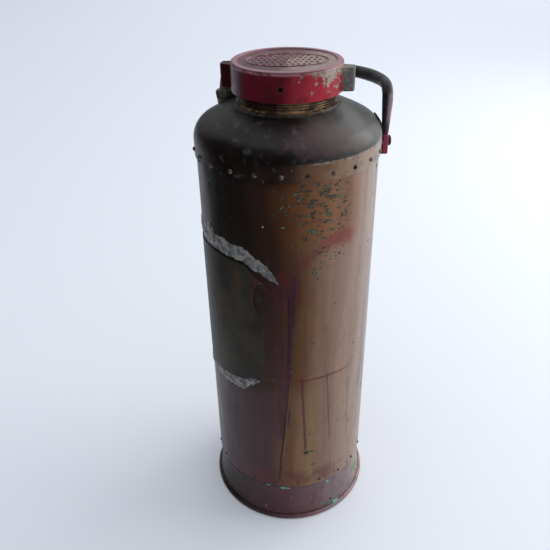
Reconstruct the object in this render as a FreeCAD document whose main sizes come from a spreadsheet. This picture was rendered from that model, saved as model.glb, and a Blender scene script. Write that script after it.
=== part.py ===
"""An old turn-over fire extinguisher: a riveted copper shell with a domed top, a wide screw cap with two
lugs, an inner vessel for the second chemical, a fixed nozzle, a side handle and a flared foot ring.

Millimetres, +Z up, origin at the centre of the circle that the foot ring stands on. The handle is at the
back, +Y, and the instruction plate at the front, -Y. Turns are angles about Z from +X, in degrees.
"""
import FreeCAD
import Part
import math
import os
import sys
from types import SimpleNamespace

import Sketcher
from FreeCAD import Placement, Rotation, Vector

DIMENSIONS = {
    # shell
    "body_radius": 91.3,
    "body_sheet": 1.5,
    "body_bottom": 54.0,
    "body_top": 463.0,
    "lap_gap": 0.05,
    "dome_sheet": 1.6,
    "dome_lap_edge": 451.5,
    "dome_spring": 467.0,
    "dome_height": 39.0,
    "dome_knuckle": 20.0,
    "landing_radius": 50.5,
    "head_sheet": 1.6,
    "head_flange_top": 70.0,
    "head_spring": 56.0,
    "head_depth": 30.0,
    "head_knuckle": 16.0,
    # foot ring
    "foot_sheet": 1.2,
    "foot_flange_top": 66.0,
    "foot_step_top": 53.0,
    "foot_step_bottom": 50.0,
    "foot_step_out": 0.6,
    "foot_flare_radius": 190.0,
    "bead_ring_radius": 93.8,
    "bead_radius": 3.1,
    "bead_rise": 2.9,
    "bead_wire_radius": 1.85,
    "bead_wire_gap": 0.05,
    "foot_hole_radius": 1.8,
    "foot_hole_rise": 14.0,
    # rivets
    "rivet_shank": 1.6,
    "rivet_tail": 2.2,
    "rivet_tail_thick": 0.8,
    "top_rivet_head": 2.5,
    "top_rivet_dome": 1.9,
    "top_rivet_rise": 457.8,
    "foot_rivet_head": 2.0,
    "foot_rivet_dome": 1.4,
    "foot_rivet_rise": 59.0,
    # neck
    "neck_hole": 46.0,
    "neck_bottom": 488.0,
    "neck_bore": 40.0,
    "neck_ledge": 516.0,
    "neck_mouth": 43.5,
    "neck_shoulder": 49.5,
    "shoulder_thick": 2.0,
    "solder_reach": 3.7,
    "solder_rise": 1.9,
    "solder_round": 6.0,
    "neck_top": 530.5,
    "neck_lead": 0.9,
    # screw thread, shared by the neck and the cap
    "thread_pitch": 2.309,
    "thread_start": 501.2,
    "neck_thread_turns": 13.1,
    "cap_thread_skips": 5.0,
    "cap_thread_turns": 7.1,
    "thread_root": 46.7,
    "thread_crest": 47.9,
    "thread_overrun": 0.6,
    "groove_floor": 0.7,
    "groove_mouth": 1.75,
    "ridge_crest": 46.95,
    "ridge_tip": 0.3,
    "ridge_foot": 1.1,
    # cap
    "cap_bore": 48.3,
    "cap_radius": 53.4,
    "cap_bottom": 510.5,
    "cap_inside": 533.0,
    "cap_top": 538.0,
    "cap_edge": 2.4,
    "cap_foot_edge": 0.8,
    "cap_recess_radius": 46.5,
    "cap_recess_slope": 0.9,
    "cap_recess_floor": 536.8,
    "lug_root": 51.3,
    "lug_reach": 64.0,
    "lug_root_width": 17.0,
    "lug_tip_width": 12.0,
    "lug_bottom": 511.5,
    "lug_height": 21.5,
    "lug_edge": 1.4,
    "vent_radius": 2.2,
    "vent_rise": 523.2,
    "washer_inner": 41.0,
    "washer_outer": 47.8,
    # inner vessel
    "vessel_radius": 34.0,
    "vessel_sheet": 0.8,
    "vessel_bottom": 165.0,
    "vessel_corner": 6.0,
    "vessel_collar_outer": 43.2,
    "vessel_collar_thick": 3.0,
    "vessel_port_ring": 37.2,
    "vessel_port_radius": 1.9,
    "stopper_radius": 38.5,
    "stopper_plate": 1.5,
    "stopper_guide": 32.8,
    "stopper_guide_sheet": 1.0,
    "stopper_guide_drop": 10.0,
    "stopper_knob_radius": 6.0,
    "stopper_knob_rise": 5.0,
    # outlet, rises measured along the nozzle's own axis from the dome's surface
    "outlet_radius": 70.0,
    "outlet_tilt": 10.0,
    "outlet_hole": 8.3,
    "boss_radius": 13.0,
    "boss_top": 3.0,
    "boss_depth": 9.0,
    "boss_bore": 7.5,
    "nozzle_washer_radius": 11.2,
    "nozzle_washer_thick": 0.8,
    "nozzle_hex_flats": 24.0,
    "nozzle_hex_height": 6.5,
    "nozzle_hex_inner": 6.8,
    "nozzle_base": 9.0,
    "nozzle_tip": 4.6,
    "nozzle_lip_width": 1.0,
    "nozzle_lip_drop": 0.8,
    "nozzle_taper": 12.2,
    "nozzle_shank": 7.4,
    "nozzle_shank_drop": 9.0,
    "nozzle_inlet": 5.0,
    "nozzle_orifice": 2.2,
    "nozzle_throat": 6.0,
    "strainer_outer": 8.1,
    "strainer_bore": 7.45,
    "strainer_top": 5.2,
    "strainer_length": 20.0,
    "strainer_floor": 1.0,
    "strainer_hole": 1.1,
    "strainer_hole_step": 3.6,
    "strainer_first_hole": 2.9,
    # handle
    "handle_spread": 30.0,
    "handle_leg_radius": 98.0,
    "grip_rise": 508.3,
    "grip_section": 6.2,
    "bend_section": 5.3,
    "leg_section": 3.2,
    "leg_bottom": 461.2,
    "handle_bend": 13.0,
    "foot_pad_inner": 94.5,
    "foot_pad_thick": 6.0,
    "foot_pad_width": 15.0,
    "foot_pad_bottom": 443.5,
    "foot_pad_height": 19.2,
    "foot_pad_edge": 1.2,
    "handle_bore_length": 20.0,
    "saddle_thick": 1.5,
    "saddle_bottom": 444.5,
    "saddle_lift": 45.0,
    "saddle_angle": 11.0,
    "bolt_rise": 455.5,
    "bolt_radius": 3.0,
    "bolt_gap": 0.06,
    "bolt_head_flats": 9.0,
    "bolt_head_thick": 3.4,
    "bolt_head_edge": 0.8,
    "bolt_length": 19.0,
    "nut_flats": 10.0,
    "nut_thick": 4.0,
    "backing_outer": 89.37,
    "backing_thick": 2.0,
    "backing_width": 16.0,
    "backing_height": 11.0,
    # instruction plate, half widths and heights of its outline seen from the front
    "plate_sheet": 0.8,
    "plate_reach": 120.0,
    "plate_bottom": 209.0,
    "plate_toe_width": 41.4,
    "plate_toe_rise": 219.0,
    "plate_belly_width": 58.5,
    "plate_belly_rise": 261.0,
    "plate_belly_round": 44.0,
    "plate_side_round": 160.0,
    "plate_waist_width": 51.4,
    "plate_waist_rise": 315.0,
    "plate_waist_round": 34.0,
    "plate_ear_width": 57.5,
    "plate_ear_rise": 346.0,
    "plate_shoulder_width": 43.0,
    "plate_shoulder_rise": 362.0,
    "plate_top": 364.5,
}
TOP_RIVETS = 24
FOOT_RIVETS = 21
LUGS = 2
VESSEL_PORTS = 8
STRAINER_ROWS = 4
STRAINER_HOLES = 6
GRIP_SECTIONS = 4
STRAINER_STAGGER = 30.0
TOP_RIVET_TURN = 7.5
FOOT_RIVET_TURN = 7.3
FOOT_HOLE_TURN = 0.0
LUG_TURN = 46.0
VENT_TURN = 320.0
OUTLET_TURN = 203.4
HANDLE_TURN = 90.0
BEAD_LIP = 78.0
BEAD_SLIT = 88.0
BEAD_JOIN = 96.0
BEAD_INSIDE = 137.0
UP = Vector(0, 0, 1)


class Size:
    """A number and the sheet formula that gives it: geometry starts at the number and then follows it."""

    def __init__(self, number, formula):
        self.number = float(number)
        self.formula = formula

    def __add__(self, other):
        other = as_size(other)
        return Size(self.number + other.number, f"({self.formula} + {other.formula})")

    def __sub__(self, other):
        other = as_size(other)
        return Size(self.number - other.number, f"({self.formula} - {other.formula})")

    def __mul__(self, other):
        other = as_size(other)
        return Size(self.number * other.number, f"({self.formula} * {other.formula})")

    def __truediv__(self, other):
        other = as_size(other)
        return Size(self.number / other.number, f"({self.formula} / {other.formula})")

    def __neg__(self):
        return Size(-self.number, f"(0 - {self.formula})")


def as_size(value):
    """A plain number as a Size."""
    return value if isinstance(value, Size) else Size(value, repr(float(value)))


def root(value):
    """The square root of a Size."""
    return Size(math.sqrt(value.number), f"sqrt({value.formula})")


def cosine(degrees):
    """The cosine of an angle in degrees, as a Size."""
    degrees = as_size(degrees)
    return Size(math.cos(math.radians(degrees.number)), f"cos({degrees.formula} * 1 deg)")


def sine(degrees):
    """The sine of an angle in degrees, as a Size."""
    degrees = as_size(degrees)
    return Size(math.sin(math.radians(degrees.number)), f"sin({degrees.formula} * 1 deg)")


D = SimpleNamespace(**{name: Size(value, "sizes." + name) for name, value in DIMENSIONS.items()})

# The dome's crown is part of a ball that meets the knuckle smoothly.
DOME_RADIUS = D.body_radius + D.lap_gap + D.dome_sheet
DOME_RUN = DOME_RADIUS - D.dome_knuckle
CROWN_RADIUS = (DOME_RUN * DOME_RUN + D.dome_height * D.dome_height - D.dome_knuckle * D.dome_knuckle) / (
    (D.dome_height - D.dome_knuckle) * 2
)
CROWN_CENTRE = D.dome_spring + D.dome_height - CROWN_RADIUS
LANDING = CROWN_CENTRE + root(CROWN_RADIUS * CROWN_RADIUS - D.landing_radius * D.landing_radius)
OUTLET_SEAT = CROWN_CENTRE + root(CROWN_RADIUS * CROWN_RADIUS - D.outlet_radius * D.outlet_radius)
# The sheets lapped at the bottom: the tube outside, then the foot ring's flange, then the head's flange.
FOOT_OUTER = D.body_radius - D.body_sheet - D.lap_gap
HEAD_OUTER = FOOT_OUTER - D.foot_sheet - D.lap_gap
NOZZLE_FOOT = D.boss_top + D.nozzle_washer_thick
NOZZLE_SHOULDER = NOZZLE_FOOT + D.nozzle_hex_height
NOZZLE_END = NOZZLE_SHOULDER + D.nozzle_taper
VESSEL_TOP = D.neck_ledge + D.vessel_collar_thick
BOLT_HOLE = D.bolt_radius + D.bolt_gap


def make_sheet(doc):
    """Writes the driving dimensions in a spreadsheet, each under its own alias."""
    sheet = doc.addObject("Spreadsheet::Sheet", "sizes")
    for row, (name, value) in enumerate(DIMENSIONS.items(), start=1):
        sheet.set(f"A{row}", name)
        sheet.set(f"B{row}", str(value))
        sheet.setAlias(f"B{row}", name)
    doc.recompute()


def bind(item, **sizes):
    """Gives an object's properties their values and the formulas that keep them."""
    for name, size in sizes.items():
        size = as_size(size)
        setattr(item, name, size.number)
        item.setExpression(name, size.formula)


def turned_by(degrees):
    """A placement turned about Z."""
    return Placement(Vector(), Rotation(UP, degrees))


def origin_feature(body, role):
    """One of a body's own origin planes or axes."""
    return next(feature for feature in body.Origin.OriginFeatures if feature.Role == role)


def new_body(doc, label):
    """An empty body, allowed to hold several separate solids."""
    body = doc.addObject("PartDesign::Body", label)
    body.Label = label
    body.AllowCompound = True
    return body


def new_sketch(body, role, name, turn=0.0):
    """A sketch on one of the body's origin planes; an upright one may be turned about Z."""
    sketch = body.newObject("Sketcher::SketchObject", name)
    sketch.AttachmentSupport = [(origin_feature(body, role), "")]
    sketch.MapMode = "FlatFace"
    upright = role != "XY_Plane"
    sketch.AttachmentOffset = Placement(Vector(), Rotation(Vector(0, 1, 0) if upright else UP, turn))
    return sketch


def raise_sketch(sketch, height):
    """Lifts a level sketch to a height."""
    offset = sketch.AttachmentOffset
    sketch.AttachmentOffset = Placement(Vector(0, 0, height.number), offset.Rotation)
    sketch.setExpression("AttachmentOffset.Base.z", height.formula)


def pin(sketch, geometry, end, x, y):
    """Fixes one end of a line or arc at (x, y) from the sketch's origin."""
    for kind, value, axis in (("DistanceX", x, -2), ("DistanceY", y, -1)):
        if value.number == 0:
            sketch.addConstraint(Sketcher.Constraint("PointOnObject", geometry, end, axis))
            continue
        index = sketch.addConstraint(Sketcher.Constraint(kind, -1, 1, geometry, end, value.number))
        sketch.setExpression(f"Constraints[{index}]", value.formula)


def arc_centre(start, end, radius):
    """The centre of the shorter arc from start to end, on the left of the way if radius is positive."""
    middle = (start + end) * 0.5
    chord = end - start
    side = Vector(-chord.y, chord.x, 0).normalize()
    reach = math.sqrt(max(radius * radius - chord.Length ** 2 / 4, 0))
    return middle + side * math.copysign(reach, radius)


def outline(sketch, corners):
    """Draws a closed outline. A corner is (x, y), or (x, y, radius) when an arc leads to it; an arc longer
    than half a turn is (x, y, radius, "long")."""
    corners = [tuple(as_size(v) if not isinstance(v, str) else v for v in corner) for corner in corners]
    points = [Vector(corner[0].number, corner[1].number, 0) for corner in corners]
    ends = []
    for index, corner in enumerate(corners):
        start = points[index - 1]
        end = points[index]
        if len(corner) == 2:
            edge = sketch.addGeometry(Part.LineSegment(start, end))
            ends.append((edge, 1, 2))
            continue
        radius = corner[2].number
        long_way = len(corner) == 4
        centre = arc_centre(start, end, -radius if long_way else radius)
        first, last = (start, end) if radius > 0 else (end, start)
        first_angle = math.atan2(first.y - centre.y, first.x - centre.x)
        last_angle = math.atan2(last.y - centre.y, last.x - centre.x)
        circle = Part.Circle(centre, UP, abs(radius))
        edge = sketch.addGeometry(Part.ArcOfCircle(circle, first_angle, last_angle))
        ends.append((edge, 1, 2) if radius > 0 else (edge, 2, 1))
        size = corner[2] if radius > 0 else -corner[2]
        held = sketch.addConstraint(Sketcher.Constraint("Radius", edge, size.number))
        sketch.setExpression(f"Constraints[{held}]", size.formula)
    for index, corner in enumerate(corners):
        edge, _, finish = ends[index]
        following, begin, _ = ends[(index + 1) % len(ends)]
        sketch.addConstraint(Sketcher.Constraint("Coincident", edge, finish, following, begin))
        pin(sketch, edge, finish, corner[0], corner[1])


def circle_in(sketch, x, y, radius):
    """Draws a circle with its centre at (x, y)."""
    x, y, radius = as_size(x), as_size(y), as_size(radius)
    centre = Vector(x.number, y.number, 0)
    ring = sketch.addGeometry(Part.Circle(centre, UP, radius.number))
    held = sketch.addConstraint(Sketcher.Constraint("Radius", ring, radius.number))
    sketch.setExpression(f"Constraints[{held}]", radius.formula)
    pin(sketch, ring, 3, x, y)


def turn_outline(body, corners, angle=360.0, name="turning"):
    """Revolves an outline of (radius, height) corners about Z."""
    sketch = new_sketch(body, "XZ_Plane", body.Label + "_" + name + "_outline")
    outline(sketch, corners)
    turning = body.newObject("PartDesign::Revolution", body.Label + "_" + name)
    turning.Profile = sketch
    turning.ReferenceAxis = (sketch, ["V_Axis"])
    if isinstance(angle, Size):
        turning.Midplane = True
        bind(turning, Angle=angle)
    else:
        turning.Angle = angle
    body.Tip = turning
    return turning


def repeat(body, feature, count, angle=360.0):
    """Repeats a feature about Z."""
    pattern = body.newObject("PartDesign::PolarPattern", feature.Name + "_pattern")
    pattern.Originals = [feature]
    pattern.Axis = (origin_feature(body, "Z_Axis"), [""])
    pattern.Angle = angle
    pattern.Occurrences = count
    body.Tip = pattern
    return pattern


def side_hole(body, name, turn, rise, radius):
    """Bores a hole from the axis outwards through the wall, at a turn and a height."""
    sketch = new_sketch(body, "YZ_Plane", body.Label + "_" + name + "_outline", turn)
    circle_in(sketch, 0, rise, radius)
    pocket = body.newObject("PartDesign::Pocket", body.Label + "_" + name)
    pocket.Profile = sketch
    pocket.Type = "ThroughAll"
    pocket.Reversed = True
    body.Tip = pocket
    return pocket


def make_body_shell(doc):
    """The rolled copper tube, riveted at both ends and bored for the handle's bolts."""
    body = new_body(doc, "body_shell")
    inner = D.body_radius - D.body_sheet
    turn_outline(
        body,
        [
            (inner, D.body_bottom),
            (D.body_radius, D.body_bottom),
            (D.body_radius, D.body_top),
            (inner, D.body_top),
        ],
    )
    top = side_hole(body, "top_hole", TOP_RIVET_TURN, D.top_rivet_rise, D.rivet_shank)
    repeat(body, top, TOP_RIVETS)
    foot = side_hole(body, "foot_hole", FOOT_RIVET_TURN, D.foot_rivet_rise, D.rivet_shank)
    repeat(body, foot, FOOT_RIVETS)
    bolt = side_hole(body, "bolt_hole", HANDLE_TURN - DIMENSIONS["handle_spread"], D.bolt_rise, BOLT_HOLE)
    repeat(body, bolt, 2, 2 * DIMENSIONS["handle_spread"])
    return body


def dome_corners():
    """The dome's outline, up the inside from the lap edge and down the outside."""
    skirt_inner = DOME_RADIUS - D.dome_sheet
    inner_knuckle = D.dome_knuckle - D.dome_sheet
    inner_crown = CROWN_RADIUS - D.dome_sheet
    lean_out = DOME_RUN / (CROWN_RADIUS - D.dome_knuckle)
    lean_up = (CROWN_RADIUS - D.dome_height) / (CROWN_RADIUS - D.dome_knuckle)
    landing_drop = LANDING - D.dome_sheet - CROWN_CENTRE
    inner_landing = root(inner_crown * inner_crown - landing_drop * landing_drop)
    return [
        (DOME_RADIUS, D.dome_lap_edge),
        (DOME_RADIUS, D.dome_spring),
        (lean_out * CROWN_RADIUS, CROWN_CENTRE + lean_up * CROWN_RADIUS, D.dome_knuckle),
        (D.landing_radius, LANDING, CROWN_RADIUS),
        (D.neck_hole, LANDING),
        (D.neck_hole, LANDING - D.dome_sheet),
        (inner_landing, LANDING - D.dome_sheet),
        (lean_out * inner_crown, CROWN_CENTRE + lean_up * inner_crown, -inner_crown),
        (skirt_inner, D.dome_spring, -inner_knuckle),
        (skirt_inner, D.dome_lap_edge),
    ]


def outlet_placement(rise=0.0):
    """The nozzle's own frame: on the dome's surface, leaning outwards, Z along its bore, lifted by rise."""
    turn = math.radians(OUTLET_TURN)
    seat = Vector(
        math.cos(turn) * D.outlet_radius.number, math.sin(turn) * D.outlet_radius.number, OUTLET_SEAT.number
    )
    tilt = Rotation(Vector(-math.sin(turn), math.cos(turn), 0), D.outlet_tilt.number)
    lift = tilt.multVec(Vector(0, 0, rise))
    return Placement(seat + lift, tilt.multiply(Rotation(UP, OUTLET_TURN)))


def make_top_dome(doc):
    """The spun copper dome, whose skirt laps over the tube; bored for the neck, outlet, rivets and bolts."""
    body = new_body(doc, "top_dome")
    turn_outline(body, dome_corners())
    rivet = side_hole(body, "rivet_hole", TOP_RIVET_TURN, D.top_rivet_rise, D.rivet_shank)
    repeat(body, rivet, TOP_RIVETS)
    bolt = side_hole(body, "bolt_hole", HANDLE_TURN - DIMENSIONS["handle_spread"], D.bolt_rise, BOLT_HOLE)
    repeat(body, bolt, 2, 2 * DIMENSIONS["handle_spread"])
    outlet = body.newObject("PartDesign::SubtractiveCylinder", "top_dome_outlet_hole")
    bind(outlet, Radius=D.outlet_hole, Height=D.boss_depth * 2)
    outlet.Placement = outlet_placement(-D.boss_depth.number)
    body.Tip = outlet
    return body


def make_bottom_head(doc):
    """The dished copper bottom, bulging downwards, its flange up inside the foot ring's flange."""
    body = new_body(doc, "bottom_head")
    run = HEAD_OUTER - D.head_knuckle
    crown = (run * run + D.head_depth * D.head_depth - D.head_knuckle * D.head_knuckle) / (
        (D.head_depth - D.head_knuckle) * 2
    )
    centre = D.head_spring - D.head_depth + crown
    lean_out = run / (crown - D.head_knuckle)
    lean_down = (crown - D.head_depth) / (crown - D.head_knuckle)
    inner_crown = crown - D.head_sheet
    inner_knuckle = D.head_knuckle - D.head_sheet
    turn_outline(
        body,
        [
            (0, D.head_spring - D.head_depth),
            (lean_out * crown, centre - lean_down * crown, crown),
            (HEAD_OUTER, D.head_spring, D.head_knuckle),
            (HEAD_OUTER, D.head_flange_top),
            (HEAD_OUTER - D.head_sheet, D.head_flange_top),
            (HEAD_OUTER - D.head_sheet, D.head_spring),
            (lean_out * inner_crown, centre - lean_down * inner_crown, -inner_knuckle),
            (0, D.head_spring - D.head_depth + D.head_sheet, -inner_crown),
        ],
    )
    rivet = side_hole(body, "rivet_hole", FOOT_RIVET_TURN, D.foot_rivet_rise, D.rivet_shank)
    repeat(body, rivet, FOOT_RIVETS)
    return body


def on_bead(radius, degrees):
    """A point of the foot ring's rolled bead, at a radius and angle about its wire."""
    return (D.bead_ring_radius + radius * cosine(degrees), D.bead_rise + radius * sine(degrees))


def make_foot_ring(doc):
    """The flared foot ring: a flange inside the tube, a flare, and an edge rolled outwards round a wire."""
    body = new_body(doc, "foot_ring")
    foot_inner = FOOT_OUTER - D.foot_sheet
    curl = D.bead_wire_radius + D.bead_wire_gap
    flat = root(D.bead_radius * D.bead_radius - D.bead_rise * D.bead_rise)
    lip = on_bead(curl, BEAD_LIP)
    slit = on_bead(curl, BEAD_SLIT)
    turn_outline(
        body,
        [
            (FOOT_OUTER, D.foot_flange_top),
            (foot_inner, D.foot_flange_top),
            (foot_inner, D.foot_step_top),
            (foot_inner + D.foot_step_out, D.foot_step_bottom),
            (*on_bead(D.bead_radius, BEAD_INSIDE), D.foot_flare_radius + D.foot_sheet),
            (D.bead_ring_radius - flat, 0, D.bead_radius),
            (D.bead_ring_radius + flat, 0),
            (*on_bead(D.bead_radius, BEAD_LIP), D.bead_radius),
            lip,
            (*slit, -curl, "long"),
            on_bead(D.bead_radius, BEAD_JOIN),
            (FOOT_OUTER + D.foot_step_out, D.foot_step_bottom, -D.foot_flare_radius),
            (FOOT_OUTER, D.foot_step_top),
        ],
    )
    rivet = side_hole(body, "rivet_hole", FOOT_RIVET_TURN, D.foot_rivet_rise, D.rivet_shank)
    repeat(body, rivet, FOOT_RIVETS)
    side_hole(body, "air_hole", FOOT_HOLE_TURN, D.foot_hole_rise, D.foot_hole_radius)
    return body


def make_foot_ring_wire(doc):
    """The steel wire inside the foot ring's rolled edge."""
    wire = doc.addObject("Part::Torus", "foot_ring_wire")
    wire.Label = "foot_ring_wire"
    bind(wire, Radius1=D.bead_ring_radius, Radius2=D.bead_wire_radius)
    wire.Placement = Placement(Vector(0, 0, D.bead_rise.number), Rotation())
    wire.setExpression("Placement.Base.z", D.bead_rise.formula)
    return wire


def make_rivets(doc, label, count, turn, rise, inner, outer, head, dome):
    """A ring of round-headed rivets set through the lapped sheets, with flattened tails inside. The tails'
    flat seats touch the curved sheet at their rims."""
    body = new_body(doc, label)
    seat = root(inner * inner - D.rivet_tail * D.rivet_tail)
    sketch = new_sketch(body, "XZ_Plane", label + "_outline")
    round_head = (dome * dome + head * head) / (dome * 2)
    outline(
        sketch,
        [
            (seat - D.rivet_tail_thick, rise),
            (outer + dome, rise),
            (outer, rise + head, round_head),
            (outer, rise + D.rivet_shank),
            (seat, rise + D.rivet_shank),
            (seat, rise + D.rivet_tail),
            (seat - D.rivet_tail_thick, rise + D.rivet_tail),
        ],
    )
    rivet = body.newObject("PartDesign::Revolution", label + "_turning")
    rivet.Profile = sketch
    rivet.ReferenceAxis = (sketch, ["Edge2"])
    rivet.Angle = 360.0
    body.Tip = rivet
    repeat(body, rivet, count)
    body.Placement = turned_by(turn)
    return body


def thread_outline(body, name, inner, outer, inner_width, outer_width, centre):
    """The section of a thread's groove or ridge: a trapezium across the wall at a height."""
    sketch = new_sketch(body, "XZ_Plane", body.Label + "_" + name)
    outline(
        sketch,
        [
            (inner, centre - inner_width / 2),
            (outer, centre - outer_width / 2),
            (outer, centre + outer_width / 2),
            (inner, centre + inner_width / 2),
        ],
    )
    return sketch


def wind(body, kind, sketch, turns, name):
    """Sweeps a section along a right-handed screw about Z."""
    helix = body.newObject(kind, body.Label + "_" + name)
    helix.Profile = sketch
    helix.ReferenceAxis = (sketch, ["V_Axis"])
    helix.Mode = "pitch-turns-angle"
    bind(helix, Pitch=D.thread_pitch, Turns=turns)
    helix.Angle = 0.0
    helix.LeftHanded = False
    helix.Reversed = False
    body.Tip = helix
    return helix


def make_neck_collar(doc):
    """The brass neck: a shoulder on the dome, a coarse outside thread, and a ledge for the inner vessel."""
    body = new_body(doc, "neck_collar")
    turn_outline(
        body,
        [
            (D.neck_bore, D.neck_bottom),
            (D.neck_hole, D.neck_bottom),
            (D.neck_hole, LANDING),
            (D.neck_shoulder, LANDING),
            (D.neck_shoulder, LANDING + D.shoulder_thick),
            (D.thread_crest, LANDING + D.shoulder_thick),
            (D.thread_crest, D.neck_top - D.neck_lead),
            (D.thread_crest - D.neck_lead, D.neck_top),
            (D.neck_mouth, D.neck_top),
            (D.neck_mouth, D.neck_ledge),
            (D.neck_bore, D.neck_ledge),
        ],
    )
    slope = (D.groove_mouth - D.groove_floor) / (D.thread_crest - D.thread_root)
    section = thread_outline(
        body,
        "groove",
        D.thread_root,
        D.thread_crest + D.thread_overrun,
        D.groove_floor,
        D.groove_mouth + slope * D.thread_overrun,
        D.thread_start,
    )
    wind(body, "PartDesign::SubtractiveHelix", section, D.neck_thread_turns, "thread")
    return body


def make_neck_solder_ring(doc):
    """The hollow fillet of solder between the neck's shoulder and the dome."""
    body = new_body(doc, "neck_solder_ring")
    reach = D.neck_shoulder + D.solder_reach
    reach_rise = CROWN_CENTRE + root(CROWN_RADIUS * CROWN_RADIUS - reach * reach)
    turn_outline(
        body,
        [
            (D.neck_shoulder, LANDING),
            (D.landing_radius, LANDING),
            (reach, reach_rise, -CROWN_RADIUS),
            (D.neck_shoulder, LANDING + D.solder_rise, -D.solder_round),
        ],
    )
    return body


def make_cap(doc):
    """The cast screw cap: a wide inside thread, a raised rim, two lugs to turn it by and two vents."""
    body = new_body(doc, "cap")
    turn_outline(
        body,
        [
            (D.cap_bore, D.cap_bottom),
            (D.cap_radius - D.cap_foot_edge, D.cap_bottom),
            (D.cap_radius, D.cap_bottom + D.cap_foot_edge, D.cap_foot_edge),
            (D.cap_radius, D.cap_top - D.cap_edge),
            (D.cap_radius - D.cap_edge, D.cap_top, D.cap_edge),
            (D.cap_recess_radius + D.cap_recess_slope, D.cap_top),
            (D.cap_recess_radius, D.cap_recess_floor),
            (0, D.cap_recess_floor),
            (0, D.cap_inside),
            (D.cap_bore, D.cap_inside),
        ],
    )
    centre = D.thread_start + D.thread_pitch * D.cap_thread_skips
    slope = (D.ridge_foot - D.ridge_tip) / (D.cap_bore - D.ridge_crest)
    section = thread_outline(
        body,
        "ridge",
        D.ridge_crest,
        D.cap_bore + D.thread_overrun,
        D.ridge_tip,
        D.ridge_foot + slope * D.thread_overrun,
        centre,
    )
    wind(body, "PartDesign::AdditiveHelix", section, D.cap_thread_turns, "thread")
    lug_sketch = new_sketch(body, "XY_Plane", "cap_lug_outline", LUG_TURN)
    raise_sketch(lug_sketch, D.lug_bottom)
    outline(
        lug_sketch,
        [
            (D.lug_root, -(D.lug_root_width / 2)),
            (D.lug_reach - D.lug_edge, -(D.lug_tip_width / 2)),
            (D.lug_reach, D.lug_edge - D.lug_tip_width / 2),
            (D.lug_reach, D.lug_tip_width / 2 - D.lug_edge),
            (D.lug_reach - D.lug_edge, D.lug_tip_width / 2),
            (D.lug_root, D.lug_root_width / 2),
        ],
    )
    lug = body.newObject("PartDesign::Pad", "cap_lug")
    lug.Profile = lug_sketch
    bind(lug, Length=D.lug_height)
    body.Tip = lug
    repeat(body, lug, LUGS)
    vent = side_hole(body, "vent", VENT_TURN, D.vent_rise, D.vent_radius)
    repeat(body, vent, LUGS)
    return body


def make_ring(doc, label, inner, outer, bottom, top):
    """A plain flat ring about Z."""
    body = new_body(doc, label)
    turn_outline(body, [(inner, bottom), (outer, bottom), (outer, top), (inner, top)])
    return body


def make_inner_vessel(doc):
    """The deep spun cup that holds the second chemical."""
    body = new_body(doc, "inner_vessel")
    inner = D.vessel_radius - D.vessel_sheet
    floor = D.vessel_bottom + D.vessel_sheet
    flat = D.vessel_radius - D.vessel_corner
    turn_outline(
        body,
        [
            (0, D.vessel_bottom),
            (flat, D.vessel_bottom),
            (D.vessel_radius, D.vessel_bottom + D.vessel_corner, D.vessel_corner),
            (D.vessel_radius, VESSEL_TOP),
            (inner, VESSEL_TOP),
            (inner, D.vessel_bottom + D.vessel_corner),
            (flat, floor, -(D.vessel_corner - D.vessel_sheet)),
            (0, floor),
        ],
    )
    return body


def make_vessel_collar(doc):
    """The ring that hangs the vessel on the neck's ledge, pierced to let the charge through."""
    collar = make_ring(
        doc,
        "vessel_collar",
        D.vessel_radius + D.lap_gap,
        D.vessel_collar_outer,
        D.neck_ledge,
        VESSEL_TOP,
    )
    sketch = new_sketch(collar, "XY_Plane", "vessel_collar_port_outline")
    circle_in(sketch, D.vessel_port_ring, 0, D.vessel_port_radius)
    port = collar.newObject("PartDesign::Pocket", "vessel_collar_port")
    port.Profile = sketch
    port.Type = "ThroughAll"
    port.Reversed = True
    collar.Tip = port
    repeat(collar, port, VESSEL_PORTS)
    return collar


def make_stopper(doc):
    """The loose lead stopper: a plate on the vessel's mouth, a guide skirt inside it and a lifting knob."""
    body = new_body(doc, "stopper")
    plate_top = VESSEL_TOP + D.stopper_plate
    guide_inner = D.stopper_guide - D.stopper_guide_sheet
    knob_round = D.stopper_knob_radius / 2
    turn_outline(
        body,
        [
            (0, VESSEL_TOP),
            (guide_inner, VESSEL_TOP),
            (guide_inner, VESSEL_TOP - D.stopper_guide_drop),
            (D.stopper_guide, VESSEL_TOP - D.stopper_guide_drop),
            (D.stopper_guide, VESSEL_TOP),
            (D.stopper_radius, VESSEL_TOP),
            (D.stopper_radius, plate_top),
            (D.stopper_knob_radius, plate_top),
            (D.stopper_knob_radius, plate_top + D.stopper_knob_rise - knob_round),
            (D.stopper_knob_radius - knob_round, plate_top + D.stopper_knob_rise, knob_round),
            (0, plate_top + D.stopper_knob_rise),
        ],
    )
    return body


def make_outlet_boss(doc):
    """The soldered boss on the dome: a leaning round whose foot follows the crown."""
    blank = doc.addObject("Part::Cylinder", "outlet_boss_blank")
    bind(blank, Radius=D.boss_radius, Height=D.boss_depth + D.boss_top)
    blank.Placement = outlet_placement(-D.boss_depth.number)
    crown = doc.addObject("Part::Sphere", "outlet_boss_seat")
    bind(crown, Radius=CROWN_RADIUS)
    crown.Placement = Placement(Vector(0, 0, CROWN_CENTRE.number), Rotation())
    crown.setExpression("Placement.Base.z", CROWN_CENTRE.formula)
    fitted = doc.addObject("Part::Cut", "outlet_boss_fitted")
    fitted.Base = blank
    fitted.Tool = crown
    bore = doc.addObject("Part::Cylinder", "outlet_boss_bore")
    bind(bore, Radius=D.boss_bore, Height=(D.boss_depth + D.boss_top) * 2)
    bore.Placement = outlet_placement(-D.boss_depth.number)
    boss = doc.addObject("Part::Cut", "outlet_boss")
    boss.Label = "outlet_boss"
    boss.Base = fitted
    boss.Tool = bore
    return boss


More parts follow.
